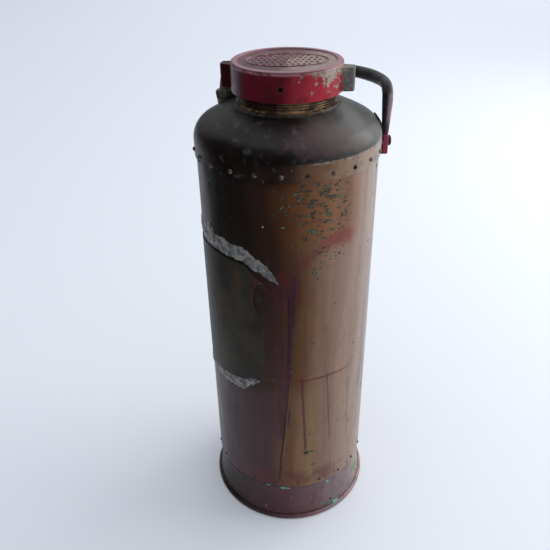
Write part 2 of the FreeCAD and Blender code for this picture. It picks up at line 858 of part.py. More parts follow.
def hexagon(sketch, flats):
    """Draws a hexagon of a size across flats about the sketch's origin."""
    corner = flats / 2 / cosine(30)
    outline(sketch, [(corner * cosine(60 * side), corner * sine(60 * side)) for side in range(6)])


def make_nozzle(doc):
    """The brass jet: a hexagon, a cone, a shank through the boss, and a bore that narrows to the orifice."""
    body = new_body(doc, "nozzle")
    turn_outline(
        body,
        [
            (D.nozzle_inlet, -D.nozzle_shank_drop),
            (D.nozzle_shank, -D.nozzle_shank_drop),
            (D.nozzle_shank, NOZZLE_SHOULDER),
            (D.nozzle_base, NOZZLE_SHOULDER),
            (D.nozzle_tip + D.nozzle_lip_width, NOZZLE_END - D.nozzle_lip_drop),
            (D.nozzle_tip, NOZZLE_END),
            (D.nozzle_orifice, NOZZLE_END),
            (D.nozzle_orifice, NOZZLE_END - D.nozzle_throat),
            (D.nozzle_inlet, NOZZLE_SHOULDER),
        ],
    )
    hex_sketch = new_sketch(body, "XY_Plane", "nozzle_hex_outline")
    raise_sketch(hex_sketch, NOZZLE_FOOT)
    hexagon(hex_sketch, D.nozzle_hex_flats)
    circle_in(hex_sketch, 0, 0, D.nozzle_hex_inner)
    grip = body.newObject("PartDesign::Pad", "nozzle_hex")
    grip.Profile = hex_sketch
    bind(grip, Length=D.nozzle_hex_height)
    body.Tip = grip
    body.Placement = outlet_placement()
    return body


def make_strainer(doc):
    """The perforated copper thimble pushed on the nozzle's shank inside the dome."""
    body = new_body(doc, "strainer")
    bottom = -(D.strainer_top + D.strainer_length)
    turn_outline(
        body,
        [
            (0, bottom),
            (D.strainer_outer, bottom),
            (D.strainer_outer, -D.strainer_top),
            (D.strainer_bore, -D.strainer_top),
            (D.strainer_bore, bottom + D.strainer_floor),
            (0, bottom + D.strainer_floor),
        ],
    )
    for row in range(STRAINER_ROWS):
        rise = bottom + D.strainer_first_hole + D.strainer_hole_step * row
        hole = side_hole(body, f"hole_{row}", STRAINER_STAGGER * (row % 2), rise, D.strainer_hole)
        repeat(body, hole, STRAINER_HOLES)
    body.Placement = outlet_placement()
    return body


def level_pair(degrees):
    """The level directions outwards and along the grip, at an angle from +Y towards +X."""
    angle = math.radians(degrees)
    return Vector(math.sin(angle), math.cos(angle), 0), Vector(-math.cos(angle), math.sin(angle), 0)


def make_leg(doc, side):
    """One leg of the handle, thicker towards the top, with the bend that turns it level. side is 1 on +X."""
    outward, inward = level_pair(side * D.handle_spread.number)
    inward = inward * side
    foot = outward * D.handle_leg_radius.number
    bend_rise = D.grip_rise - D.handle_bend
    leg = doc.addObject("Part::Cone", f"handle_leg_{'right' if side > 0 else 'left'}")
    bind(leg, Radius1=D.leg_section, Radius2=D.bend_section, Height=bend_rise - D.leg_bottom)
    leg.Placement = Placement(foot + UP * D.leg_bottom.number, Rotation())
    leg.setExpression("Placement.Base.z", D.leg_bottom.formula)
    bend = doc.addObject("Part::Torus", leg.Name + "_bend")
    bind(bend, Radius1=D.handle_bend, Radius2=D.bend_section)
    bend.Angle3 = 90.0
    centre = foot + UP * bend_rise.number + inward * D.handle_bend.number
    bend.Placement = Placement(centre, Rotation(inward * -1, UP, UP.cross(inward), "XYZ"))
    return [leg, bend]


def make_grip(doc):
    """The grip: one level arc about a point on the Y axis, tangent to both bends, thickest in the middle."""
    spread = D.handle_spread.number
    outward, inward = level_pair(spread)
    start = outward * D.handle_leg_radius.number + inward * D.handle_bend.number
    radius = start.x / outward.x
    centre = Vector(0, start.y - radius * outward.y, D.grip_rise.number)
    sections = []
    for step in range(-GRIP_SECTIONS, GRIP_SECTIONS + 1):
        share = step / GRIP_SECTIONS
        away, along = level_pair(spread * share)
        ring = doc.addObject("Part::Circle", f"handle_section_{step + GRIP_SECTIONS}")
        swell = D.bend_section + (D.grip_section - D.bend_section) * cosine(90 * share)
        bind(ring, Radius=swell)
        ring.Placement = Placement(centre + away * radius, Rotation(away, along.cross(away), along, "ZXY"))
        sections.append(ring)
    grip = doc.addObject("Part::Loft", "handle_grip")
    grip.Sections = sections
    grip.Solid = True
    grip.Ruled = False
    return grip


def foot_pad(doc, name, turn):
    """One flat foot of the handle, standing upright against its saddle."""
    pad = doc.addObject("Part::Box", name)
    bind(pad, Length=D.foot_pad_thick, Width=D.foot_pad_width, Height=D.foot_pad_height)
    corner = Vector(D.foot_pad_inner.number, -D.foot_pad_width.number / 2, D.foot_pad_bottom.number)
    pad.Placement = turned_by(turn).multiply(Placement(corner, Rotation()))
    return pad


def make_handle(doc):
    """The forged handle: a grip that swells in the middle, two upright legs and two flat bolted feet."""
    turns = [HANDLE_TURN - DIMENSIONS["handle_spread"], HANDLE_TURN + DIMENSIONS["handle_spread"]]
    pads = [foot_pad(doc, f"handle_foot_{side}", turn) for side, turn in enumerate(turns)]
    doc.recompute()
    rounded = []
    for side, pad in enumerate(pads):
        soft = doc.addObject("Part::Fillet", f"handle_foot_rounded_{side}")
        soft.Base = pad
        edge = D.foot_pad_edge.number
        soft.Edges = [(number, edge, edge) for number in range(1, len(pad.Shape.Edges) + 1)]
        rounded.append(soft)
    whole = doc.addObject("Part::MultiFuse", "handle_whole")
    whole.Shapes = [make_grip(doc)] + make_leg(doc, 1) + make_leg(doc, -1) + rounded
    bores = []
    for side, turn in enumerate(turns):
        bore = doc.addObject("Part::Cylinder", f"handle_bore_{side}")
        bind(bore, Radius=BOLT_HOLE, Height=D.handle_bore_length)
        bore.Placement = turned_by(turn).multiply(
            Placement(Vector(D.body_radius.number, 0, D.bolt_rise.number), Rotation(UP, Vector(1, 0, 0)))
        )
        bores.append(bore)
    bored = doc.addObject("Part::MultiFuse", "handle_bores")
    bored.Shapes = bores
    handle = doc.addObject("Part::Cut", "handle")
    handle.Label = "handle"
    handle.Base = whole
    handle.Tool = bored
    return handle


def make_saddle(doc, label, turn):
    """A curved strip between a foot of the handle and the dome, its top end hugging the knuckle."""
    body = new_body(doc, label)
    inner = DOME_RADIUS + D.lap_gap
    outer = inner + D.saddle_thick
    inner_knuckle = D.dome_knuckle + D.lap_gap
    outer_knuckle = inner_knuckle + D.saddle_thick
    corners = [
        (inner, D.saddle_bottom),
        (outer, D.saddle_bottom),
        (outer, D.dome_spring),
        (
            DOME_RUN + outer_knuckle * cosine(D.saddle_lift),
            D.dome_spring + outer_knuckle * sine(D.saddle_lift),
            outer_knuckle,
        ),
        (
            DOME_RUN + inner_knuckle * cosine(D.saddle_lift),
            D.dome_spring + inner_knuckle * sine(D.saddle_lift),
        ),
        (inner, D.dome_spring, -inner_knuckle),
    ]
    turn_outline(body, corners, angle=D.saddle_angle)
    side_hole(body, "bolt_hole", 0.0, D.bolt_rise, BOLT_HOLE)
    body.Placement = turned_by(turn)
    return body


def paired(body, feature):
    """Repeats a handle fastener at the other leg and turns both to their places."""
    repeat(body, feature, 2, 2 * DIMENSIONS["handle_spread"])
    body.Placement = turned_by(HANDLE_TURN - DIMENSIONS["handle_spread"])


def radial_pad(body, name, start, length, draw):
    """Pads an upright sketch outwards from a radius; draw puts the outline in it."""
    sketch = new_sketch(body, "YZ_Plane", body.Label + "_" + name + "_outline")
    sketch.AttachmentOffset = Placement(Vector(0, D.bolt_rise.number, start.number), Rotation())
    sketch.setExpression("AttachmentOffset.Base.y", D.bolt_rise.formula)
    sketch.setExpression("AttachmentOffset.Base.z", start.formula)
    draw(sketch)
    pad = body.newObject("PartDesign::Pad", body.Label + "_" + name)
    pad.Profile = sketch
    bind(pad, Length=length)
    body.Tip = pad
    return pad


def make_handle_bolts(doc):
    """The two hexagon bolts that hold the handle, heads outside."""
    body = new_body(doc, "handle_bolts")
    seat = D.foot_pad_inner + D.foot_pad_thick
    sketch = new_sketch(body, "XZ_Plane", "handle_bolts_outline")
    corner = D.bolt_head_flats / 2 / cosine(30)
    outline(
        sketch,
        [
            (seat - D.bolt_length, D.bolt_rise),
            (seat + D.bolt_head_thick, D.bolt_rise),
            (seat + D.bolt_head_thick, D.bolt_rise + D.bolt_head_flats / 2),
            (seat + D.bolt_head_thick - D.bolt_head_edge, D.bolt_rise + corner),
            (seat, D.bolt_rise + corner),
            (seat, D.bolt_rise + D.bolt_radius),
            (seat - D.bolt_length, D.bolt_rise + D.bolt_radius),
        ],
    )
    bolt = body.newObject("PartDesign::Revolution", "handle_bolts_turning")
    bolt.Profile = sketch
    bolt.ReferenceAxis = (sketch, ["Edge2"])
    bolt.Angle = 360.0
    body.Tip = bolt
    paired(body, bolt)
    return body


def make_handle_nuts(doc):
    """The two nuts inside the shell."""
    body = new_body(doc, "handle_nuts")
    start = D.backing_outer - D.backing_thick - D.nut_thick

    def draw(sketch):
        hexagon(sketch, D.nut_flats)
        circle_in(sketch, 0, 0, D.bolt_radius)

    paired(body, radial_pad(body, "hex", start, D.nut_thick, draw))
    return body


def make_backing_plates(doc):
    """The two plates inside the shell that spread the load of the handle's nuts."""
    body = new_body(doc, "backing_plates")
    side = D.backing_width / 2
    drop = D.backing_height / 2

    def draw(sketch):
        outline(sketch, [(-side, -drop), (side, -drop), (side, drop), (-side, drop)])
        circle_in(sketch, 0, 0, BOLT_HOLE)

    paired(body, radial_pad(body, "plate", D.backing_outer - D.backing_thick, D.backing_thick, draw))
    return body


def arch_radius(half_width, height):
    """The radius of an arc that rises by height over twice half_width."""
    return (half_width * half_width + height * height) / (height * 2)


def make_instruction_plate(doc):
    """The thin curved plate soldered on the front of the tube, left blank, waisted like a shield."""
    inner = D.body_radius + D.lap_gap
    outer = inner + D.plate_sheet
    tube = new_body(doc, "instruction_plate_tube")
    turn_outline(
        tube,
        [
            (inner, D.plate_bottom),
            (outer, D.plate_bottom),
            (outer, D.plate_top),
            (inner, D.plate_top),
        ],
    )
    card = new_body(doc, "instruction_plate_card")
    sketch = new_sketch(card, "XZ_Plane", "instruction_plate_outline")
    toe, belly, waist = D.plate_toe_width, D.plate_belly_width, D.plate_waist_width
    ear, shoulder = D.plate_ear_width, D.plate_shoulder_width
    outline(
        sketch,
        [
            (-toe, D.plate_toe_rise, D.plate_belly_round),
            (toe, D.plate_toe_rise, arch_radius(toe, D.plate_toe_rise - D.plate_bottom)),
            (belly, D.plate_belly_rise, D.plate_belly_round),
            (waist, D.plate_waist_rise, D.plate_side_round),
            (ear, D.plate_ear_rise, -D.plate_waist_round),
            (shoulder, D.plate_shoulder_rise),
            (-shoulder, D.plate_shoulder_rise, arch_radius(shoulder, D.plate_top - D.plate_shoulder_rise)),
            (-ear, D.plate_ear_rise),
            (-waist, D.plate_waist_rise, -D.plate_waist_round),
            (-belly, D.plate_belly_rise, D.plate_side_round),
        ],
    )
    blank = card.newObject("PartDesign::Pad", "instruction_plate_blank")
    blank.Profile = sketch
    bind(blank, Length=D.plate_reach)
    card.Tip = blank
    plate = doc.addObject("Part::MultiCommon", "instruction_plate")
    plate.Label = "instruction_plate"
    plate.Shapes = [tube, card]
    return plate


def make_parts(doc):
    """Every sub-part of the extinguisher, in the order in which it is put together."""
    spread = DIMENSIONS["handle_spread"]
    nozzle_washer = make_ring(
        doc, "nozzle_washer", D.boss_bore, D.nozzle_washer_radius, D.boss_top, NOZZLE_FOOT
    )
    nozzle_washer.Placement = outlet_placement()
    return [
        make_body_shell(doc),
        make_top_dome(doc),
        make_bottom_head(doc),
        make_foot_ring(doc),
        make_foot_ring_wire(doc),
        make_rivets(
            doc,
            "top_rivets",
            TOP_RIVETS,
            TOP_RIVET_TURN,
            D.top_rivet_rise,
            D.body_radius - D.body_sheet,
            DOME_RADIUS,
            D.top_rivet_head,
            D.top_rivet_dome,
        ),
        make_rivets(
            doc,
            "bottom_rivets",
            FOOT_RIVETS,
            FOOT_RIVET_TURN,
            D.foot_rivet_rise,
            HEAD_OUTER - D.head_sheet,
            D.body_radius,
            D.foot_rivet_head,
            D.foot_rivet_dome,
        ),
        make_neck_collar(doc),
        make_neck_solder_ring(doc),
        make_cap(doc),
        make_ring(doc, "cap_washer", D.washer_inner, D.washer_outer, D.neck_top, D.cap_inside),
        make_inner_vessel(doc),
        make_vessel_collar(doc),
        make_stopper(doc),
        make_outlet_boss(doc),
        make_nozzle(doc),
        nozzle_washer,
        make_strainer(doc),
        make_handle(doc),
        make_saddle(doc, "right_saddle", HANDLE_TURN - spread),
        make_saddle(doc, "left_saddle", HANDLE_TURN + spread),
        make_handle_bolts(doc),
        make_handle_nuts(doc),
        make_backing_plates(doc),
        make_instruction_plate(doc),
    ]


def check(doc, parts):
    """Stops if any object failed to compute or any sub-part has no sound solid."""
    failed = [item.Name for item in doc.Objects if {"Invalid", "Error"} & set(item.State)]
    unsound = [part.Label for part in parts if part.Shape.isNull() or not part.Shape.isValid()]
    hollow = [part.Label for part in parts if not part.Shape.Solids or part.Shape.Volume <= 0]
    if failed or unsound or hollow:
        sys.exit(f"failed: {failed}; not sound: {unsound}; not solid: {hollow}")


def main():
    """Builds the extinguisher and writes one STEP file for each sub-part."""
    os.makedirs("parts", exist_ok=True)
    doc = FreeCAD.newDocument("extinguisher")
    make_sheet(doc)
    parts = make_parts(doc)
    doc.recompute()
    check(doc, parts)
    for part in parts:
        part.Shape.exportStep(f"parts/{part.Label}.step")
        print(part.Label, len(part.Shape.Solids), round(part.Shape.Volume / 1000, 2), "cm3")


main()
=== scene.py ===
"""The looks of an old riveted copper fire extinguisher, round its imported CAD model: patina, paint, solder
residue, verdigris, a pale floor, soft light and the camera. Metres; heights in comments and masks are in
millimetres above the floor, and turns are degrees about Z, seen from above."""

import math

import bmesh
import bpy
from mathutils import Matrix, Vector, noise
from mathutils.bvhtree import BVHTree


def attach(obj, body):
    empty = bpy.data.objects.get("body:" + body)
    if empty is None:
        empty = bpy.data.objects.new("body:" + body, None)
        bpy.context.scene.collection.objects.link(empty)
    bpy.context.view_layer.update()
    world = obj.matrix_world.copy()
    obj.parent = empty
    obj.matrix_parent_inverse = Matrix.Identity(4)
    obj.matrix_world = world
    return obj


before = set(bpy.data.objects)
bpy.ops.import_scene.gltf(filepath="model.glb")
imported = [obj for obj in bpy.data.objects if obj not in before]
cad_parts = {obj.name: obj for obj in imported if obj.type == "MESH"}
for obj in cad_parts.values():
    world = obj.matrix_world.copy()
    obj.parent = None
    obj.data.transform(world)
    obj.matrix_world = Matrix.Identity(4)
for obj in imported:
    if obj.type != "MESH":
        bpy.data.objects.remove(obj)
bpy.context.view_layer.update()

MM = 0.001
# The turn of the side that the camera looks at, where the masks' own turns start.
FRONT = 325.2
OBJECT_HEIGHT = 0.538

# Camera and light
CAMERA_PLACE = Vector((0.5006, -0.3355, 0.6731))
CAMERA_HEADING = 147.61
CAMERA_DIP = 31.72
CAMERA_ROLL = -1.12
CAMERA_LENS = 40.9
SENSOR_WIDTH = 36.0
KEY_TURN = 74.0
KEY_DISTANCE = 1.9
KEY_HEIGHT = 1.2
KEY_SIZE = (2.0, 1.6)
KEY_POWER = 24.0
KEY_TINT = (1.0, 0.99, 0.97)
BACK_PLACE = (-2.4, 3.5, 2.8)
BACK_SIZE = (5.0, 4.0)
BACK_POWER = 42.0
BACK_TINT = (0.97, 0.98, 1.0)
WORLD_BASE = 0.08
WORLD_OVERHEAD = 1.05
WORLD_ASIDE = 0.35
FLOOR_RINGS = (1.0, 3.0, 6.0, 9.0)
FLOOR_SPOKES = 64
# A curved dark card about the axis, in turns from +X.
CARD_AWAY = 0.46
CARD_TURNS = (214.0, 336.0)
CARD_LOW = 0.0
CARD_HIGH = 1.1
CARD_STEPS = 40

# The cap's radius, in millimetres, where its paint stops and its lugs begin.
CAP_SIDE = 53.4

# Colours as they look on a screen, red, green and blue from 0 to 255.
COLOURS = {
    "near_black": (27, 20, 18),
    "dark_umber": (34, 23, 18),
    "umber": (56, 34, 24),
    "brown": (84, 50, 30),
    "warm_brown": (104, 68, 42),
    "orange_brown": (128, 80, 40),
    "golden": (150, 114, 72),
    "tan": (126, 98, 76),
    "skirt_tan": (136, 106, 78),
    "pale_skirt": (158, 136, 116),
    "pink_tan": (154, 125, 108),
    "pale_tan": (166, 148, 138),
    "olive_black": (48, 45, 38),
    "olive_grey": (74, 70, 62),
    "purple_grey": (60, 42, 42),
    "maroon_grey": (68, 40, 43),
    "maroon_black": (42, 22, 20),
    "purple_maroon": (64, 34, 42),
    "maroon": (88, 34, 38),
    "rose": (128, 56, 58),
    "bright_crimson": (176, 30, 48),
    "crimson": (140, 20, 38),
    "foot_crimson": (142, 34, 62),
    "deep_crimson": (56, 5, 16),
    "dark_crimson": (92, 8, 28),
    "foot_maroon": (84, 50, 56),
    "mauve_brown": (102, 72, 74),
    "mauve_grey": (126, 106, 108),
    "mauve": (100, 50, 64),
    "top_pink": (122, 76, 88),
    "pale_pink": (170, 124, 134),
    "worn_metal": (118, 106, 92),
    "pale_metal": (168, 158, 142),
    "dark_grey_brown": (58, 54, 48),
    "worn_grey": (112, 110, 106),
    "grey_patina": (78, 75, 72),
    "grey_green": (92, 94, 90),
    "dark_patina": (40, 37, 33),
    "dome_grey": (68, 64, 60),
    "dome_green": (84, 84, 80),
    "verdigris": (96, 130, 112),
    "slate": (66, 78, 76),
    "dark_verdigris": (44, 56, 50),
    "bright_verdigris": (120, 205, 180),
    "solder": (142, 140, 134),
    "solder_dark": (86, 86, 88),
    "plate_olive": (56, 51, 38),
    "plate_dark": (40, 37, 30),
    "brass": (150, 116, 66),
    "bright_brass": (196, 158, 116),
    "dark_brass": (70, 64, 50),
    "boss_brass": (96, 92, 80),
    "iron": (44, 44, 44),
    "pale_iron_highlight": (152, 126, 132),
    "old_copper": (150, 92, 62),
    "leather": (74, 50, 34),
    "lead": (108, 110, 114),
    "white_speck": (225, 222, 214),
    "floor": (238, 241, 246),
    "sky": (228, 232, 240),
}


def colour(name):
    """A named colour as the linear red, green, blue and alpha that shaders use."""
    shares = [value / 255 for value in COLOURS[name]]
    return [s / 12.92 if s <= 0.04045 else ((s + 0.055) / 1.055) ** 2.4 for s in shares] + [1.0]


class Paint:
    """A material in the making. Its methods add nodes and give back the socket that holds their result."""

    def __init__(self, name, specular=0.5):
        self.material = bpy.data.materials.new(name)
        self.material.use_nodes = True
        self.tree = self.material.node_tree
        self.shader = self.tree.nodes["Principled BSDF"]
        self.shader.inputs["Specular IOR Level"].default_value = specular
        self.place = self.tree.nodes.new("ShaderNodeTexCoord").outputs["Object"]
        split = self.tree.nodes.new("ShaderNodeSeparateXYZ")
        self.tree.links.new(self.place, split.inputs[0])
        self.x, self.y, z = split.outputs
        self.rise = self.math("MULTIPLY", z, 1 / MM)
        self._turn = None

    def put(self, socket, value):
        """Links a socket, or sets it to a number, a vector or a named colour."""
        if isinstance(value, bpy.types.NodeSocket):
            self.tree.links.new(value, socket)
        elif isinstance(value, str):
            socket.default_value = colour(value)
        else:
            socket.default_value = value

    def math(self, operation, *values, clamp=False):
        node = self.tree.nodes.new("ShaderNodeMath")
        node.operation = operation
        node.use_clamp = clamp
        for socket, value in zip(node.inputs, values):
            self.put(socket, value)
        return node.outputs[0]

    def add(self, a, b):
        return self.math("ADD", a, b)

    def take(self, a, b):
        return self.math("SUBTRACT", a, b)

    def times(self, a, *others):
        for other in others:
            a = self.math("MULTIPLY", a, other)
        return a

    def turn(self):
        """Degrees about Z from the front side, growing towards the camera's right."""
        if self._turn is None:
            front = math.radians(FRONT)
            ahead = self.add(self.times(self.x, math.cos(front)), self.times(self.y, math.sin(front)))
            aside = self.take(self.times(self.y, math.cos(front)), self.times(self.x, math.sin(front)))
            self._turn = self.times(self.math("ARCTAN2", aside, ahead), math.degrees(1))
        return self._turn

    def outward(self):
        """The distance from the axis, in millimetres."""
        squares = self.add(self.times(self.x, self.x), self.times(self.y, self.y))
        return self.times(self.math("SQRT", squares), 1 / MM)

    def step(self, value, low, high):
        """0 below low and 1 above high, with a smooth change between; low may be the larger one."""
        node = self.tree.nodes.new("ShaderNodeMapRange")
        node.interpolation_type = "SMOOTHSTEP"
        self.put(node.inputs["Value"], value)
        node.inputs["From Min"].default_value = low
        node.inputs["From Max"].default_value = high
        return node.outputs["Result"]

    def between(self, value, start, low, high, end):
        """1 from low to high, falling to 0 at start and end."""
        return self.times(self.step(value, start, low), self.step(value, end, high))

    def noise(self, size, detail=3.0, stretch=(1, 1, 1), roughness=0.55, seed=0.0):
        """Cloudy noise about 0.5, with lumps of about that size in metres, longer along an axis that is
        stretched by less than 1."""
        shifted = self.tree.nodes.new("ShaderNodeMapping")
        self.put(shifted.inputs["Vector"], self.place)
        shifted.inputs["Location"].default_value = (seed, -seed, seed * 0.5)
        shifted.inputs["Scale"].default_value = stretch
        node = self.tree.nodes.new("ShaderNodeTexNoise")
        self.put(node.inputs["Vector"], shifted.outputs[0])
        node.inputs["Scale"].default_value = 1 / size
        node.inputs["Detail"].default_value = detail
        node.inputs["Roughness"].default_value = roughness
        return node.outputs["Fac"]

    def wobble(self, size, reach, detail=2.0, stretch=(1, 1, 1), seed=0.0):
        """Noise about 0 that reaches about that far each way."""
        return self.times(self.take(self.noise(size, detail, stretch, seed=seed), 0.5), 2 * reach)

    def specks(self, size, amount, radius=0.35, stretch=(1, 1, 1), seed=0.0, ragged=0.0):
        """Scattered spots: cells of that size, of which a share holds a spot of radius times the size. The
        value falls from 1 in a spot's middle to 0 at its edge, which ragged makes uneven."""
        shifted = self.tree.nodes.new("ShaderNodeMapping")
        self.put(shifted.inputs["Vector"], self.place)
        shifted.inputs["Location"].default_value = (seed, seed, -seed)
        shifted.inputs["Scale"].default_value = stretch
        node = self.tree.nodes.new("ShaderNodeTexVoronoi")
        self.put(node.inputs["Vector"], shifted.outputs[0])
        node.inputs["Scale"].default_value = 1 / size
        away = node.outputs["Distance"]
        if ragged:
            away = self.add(away, self.wobble(size * 0.45, radius * ragged, 3.0, seed=seed))
        spot = self.step(away, radius, radius * (0.35 if ragged else 0.6))
        chance = self.tree.nodes.new("ShaderNodeSeparateColor")
        self.put(chance.inputs[0], node.outputs["Color"])
        return self.times(spot, self.math("LESS_THAN", chance.outputs[0], amount))

    def mix(self, factor, a, b, blend="MIX"):
        """Colour a turning to b as factor goes from 0 to 1."""
        node = self.tree.nodes.new("ShaderNodeMix")
        node.data_type = "RGBA"
        node.blend_type = blend
        self.put(node.inputs[0], factor)
        self.put(node.inputs[6], a)
        self.put(node.inputs[7], b)
        return node.outputs[2]

    def ramp(self, value, low, high, stops):
        """A run of named colours, placed at values from low to high."""
        node = self.tree.nodes.new("ShaderNodeValToRGB")
        self.put(node.inputs[0], self.times(self.take(value, low), 1 / (high - low)))
        node.color_ramp.interpolation = "EASE"
        marks = node.color_ramp.elements
        while len(marks) < len(stops):
            marks.new(1.0)
        for mark, (place, name) in zip(marks, stops):
            mark.position = (place - low) / (high - low)
            mark.color = colour(name)
        return node.outputs[0]

    def drip(self, top, bottom, width, seed):
        """A run of dried liquid: from (turn, height) at the top to the bottom, width in degrees."""
        (turn_high, high), (turn_low, low) = top, bottom
        slope = (turn_high - turn_low) / (high - low)
        line = self.add(self.times(self.take(self.rise, low), slope), turn_low)
        waver = self.wobble(0.03, width * 0.8, seed=seed)
        away = self.math("ABSOLUTE", self.take(self.add(self.turn(), waver), line))
        core = self.step(away, width, width * 0.35)
        return self.times(core, self.between(self.rise, low - 4, low + 10, high - 6, high + 8))

    def spot(self, turn, rise, reach, height, ragged=0.35, seed=0.0):
        """An uneven patch about a turn and a height, reaching that many degrees and millimetres."""
        across = self.times(self.take(self.turn(), turn), 1 / reach)
        up = self.times(self.take(self.rise, rise), 1 / height)
        away = self.math("SQRT", self.add(self.times(across, across), self.times(up, up)))
        return self.step(self.add(away, self.wobble(height * MM, ragged, 3.0, seed=seed)), 1.1, 0.6)

    def bump(self, height, depth, strength=1.0, under=None):
        """A normal that raises the surface by depth in metres where height is 1."""
        node = self.tree.nodes.new("ShaderNodeBump")
        node.inputs["Strength"].default_value = strength
        node.inputs["Distance"].default_value = depth
        self.put(node.inputs["Height"], height)
        if under is not None:
            self.put(node.inputs["Normal"], under)
        return node.outputs[0]

    def finish(self, base, roughness, metallic=0.0, normal=None):
        """Sets the shader's colour, roughness, metal share and normal."""
        self.put(self.shader.inputs["Base Color"], base)
        self.put(self.shader.inputs["Roughness"], roughness)
        self.put(self.shader.inputs["Metallic"], metallic)
        if normal is not None:
            self.put(self.shader.inputs["Normal"], normal)
        return self.material


def level(paint, value, low, high):
    """Spreads noise about 0.5 to numbers from about low to high."""
    return paint.add(paint.times(value, high - low), low)


def copper_patina(name):
    """The tube: near black on its dark side, partly dark patina and partly painted shade, orange at the front,
    and pinkish tan towards the key light as painted reflection; with runs of old paint, a splash line,
    streaks, verdigris spots, dents, a painted shadow under the dome's lap and painted sheen low on the lit
    side."""
    p = Paint(name, specular=0.3)
    turn = p.add(p.turn(), p.wobble(0.09, 7.0, seed=1.0))
    # Colour by turn: near black on the dark side, partly dark patina and partly painted shade; orange at the
    # front; the pinkish and pale tans towards the key light are painted reflection.
    upper = p.ramp(
        turn,
        -180,
        180,
        [
            (-180, "brown"),
            (-120, "umber"),
            (-76, "olive_black"),
            (-46, "near_black"),
            (-26, "dark_umber"),
            (-12, "umber"),
            (0, "brown"),
            (9, "warm_brown"),
            (20, "tan"),
            (36, "pink_tan"),
            (74, "pale_tan"),
            (120, "tan"),
            (180, "brown"),
        ],
    )
    # The lower tube by turn, with the same painted shade on the dark side and painted reflection towards the
    # key light.
    lower = p.ramp(
        turn,
        -180,
        180,
        [
            (-180, "brown"),
            (-120, "umber"),
            (-72, "olive_grey"),
            (-46, "purple_grey"),
            (-16, "maroon_grey"),
            (-1, "warm_brown"),
            (15, "tan"),
            (36, "pink_tan"),
            (74, "pale_tan"),
            (120, "tan"),
            (180, "brown"),
        ],
    )
    base = p.mix(p.step(p.add(p.rise, p.wobble(0.05, 18.0, seed=2.0)), 215, 190), upper, lower)
    glow = p.step(p.add(p.rise, p.wobble(0.03, 14.0, seed=2.5)), 366, 404)
    glow = p.times(glow, p.between(turn, -14, 12, 36, 60))
    base = p.mix(p.times(glow, 0.6), base, "orange_brown")

    broad = p.noise(0.022, 2.0, (1, 1, 0.06), seed=3.5)
    # Painted sheen: golden streaks low on the tube, from the front round to the lit side only.
    bright_low = p.times(p.between(p.turn(), -4, 14, 90, 140), p.step(p.rise, 330, 180))
    base = p.mix(p.times(p.step(broad, 0.5, 0.64), bright_low, 0.4), base, "golden")
    base = p.mix(p.times(p.step(broad, 0.5, 0.36), 0.2), base, "umber")
    streaks = p.noise(0.006, 4.0, (1, 1, 0.04), seed=3.0)
    streaked = p.times(p.step(streaks, 0.54, 0.74), p.step(p.rise, 300, 200), 0.4)
    base = p.mix(streaked, base, "maroon_grey")
    clouds = p.noise(0.02, 5.0, (1, 1, 0.6), seed=4.0)
    base = p.mix(p.times(p.step(clouds, 0.55, 0.78), 0.25), base, "umber")
    base = p.mix(p.times(p.step(p.noise(0.009, 4.0, seed=5.0), 0.58, 0.72), 0.2), base, "grey_patina")

    # Painted shadow: a near-black band under the dome's lap, left off towards the key light.
    under_lap = p.step(p.add(p.rise, p.wobble(0.02, 4.0, seed=6.0)), 440, 452)
    base = p.mix(p.times(under_lap, p.take(1.0, p.between(p.turn(), 0, 34, 120, 170)), 0.3), base, "near_black")
    foot_red = p.between(p.add(p.rise, p.wobble(0.02, 4.0, seed=6.5)), 54, 60, 72, 86)
    foot_red = p.times(foot_red, p.take(1.0, p.between(p.turn(), 26, 56, 90, 120)))
    base = p.mix(p.times(foot_red, p.step(p.noise(0.02, 3.0, seed=6.8), 0.36, 0.56), 0.5), base, "maroon")

    centre = p.add(p.times(p.step(p.turn(), -8, 30), 42.0), 347.0)
    off = p.math("ABSOLUTE", p.add(p.take(p.rise, centre), p.wobble(0.014, 5.0, 3.0, seed=7.0)))
    smear = p.times(p.step(off, 11.0, 2.0), p.between(p.turn(), -10, -2, 38, 50))
    thin = level(p, p.step(p.turn(), 12, 34), 0.35, 0.7)
    # The smear is painted paler, rose, towards the key light: painted light on the red paint.
    base = p.mix(p.times(smear, thin), base, p.mix(p.step(p.turn(), 8, 30), "maroon", "rose"))
    patch = p.spot(-1.0, 334.0, 9.0, 30.0, seed=8.0)
    base = p.mix(p.times(patch, 0.7), base, "maroon")
    lap = p.spot(-8.0, 166.0, 7.0, 34.0, seed=8.5)
    base = p.mix(p.times(lap, 0.45), base, "purple_maroon")

    for number, (top, bottom, width, depth, tone) in enumerate(
        [
            ((-5.2, 345), (-4.2, 130), 3.4, 0.75, "purple_maroon"),
            ((4.0, 352), (-2.0, 150), 2.8, 0.9, "purple_maroon"),
            ((-1.6, 168), (-7.2, 62), 1.1, 0.9, "maroon_black"),
            ((2.4, 225), (-3.4, 100), 0.5, 0.3, "golden"),
            ((9.5, 226), (13.0, 112), 1.4, 0.75, "maroon"),
            ((27.8, 224), (32.0, 120), 1.0, 0.5, "maroon"),
            ((47.0, 206), (50.0, 98), 0.9, 0.35, "maroon"),
            ((-35.0, 170), (-37.0, 118), 1.2, 0.5, "near_black"),
            ((-52.0, 190), (-53.0, 80), 2.4, 0.5, "olive_black"),
            ((0.6, 342), (1.2, 232), 0.8, 0.6, "maroon_black"),
            ((7.5, 350), (8.0, 318), 1.2, 0.8, "maroon"),
        ]
    ):
        run = p.drip(top, bottom, width, seed=10.0 + number)
        base = p.mix(p.times(run, depth), base, tone)
    level_line = p.math("ABSOLUTE", p.add(p.take(p.rise, 222.0), p.wobble(0.03, 2.5, seed=9.0)))
    splash = p.times(p.step(level_line, 2.2, 0.5), p.between(p.turn(), -20, -10, 36, 56))
    base = p.mix(p.times(splash, 0.6), base, "maroon")

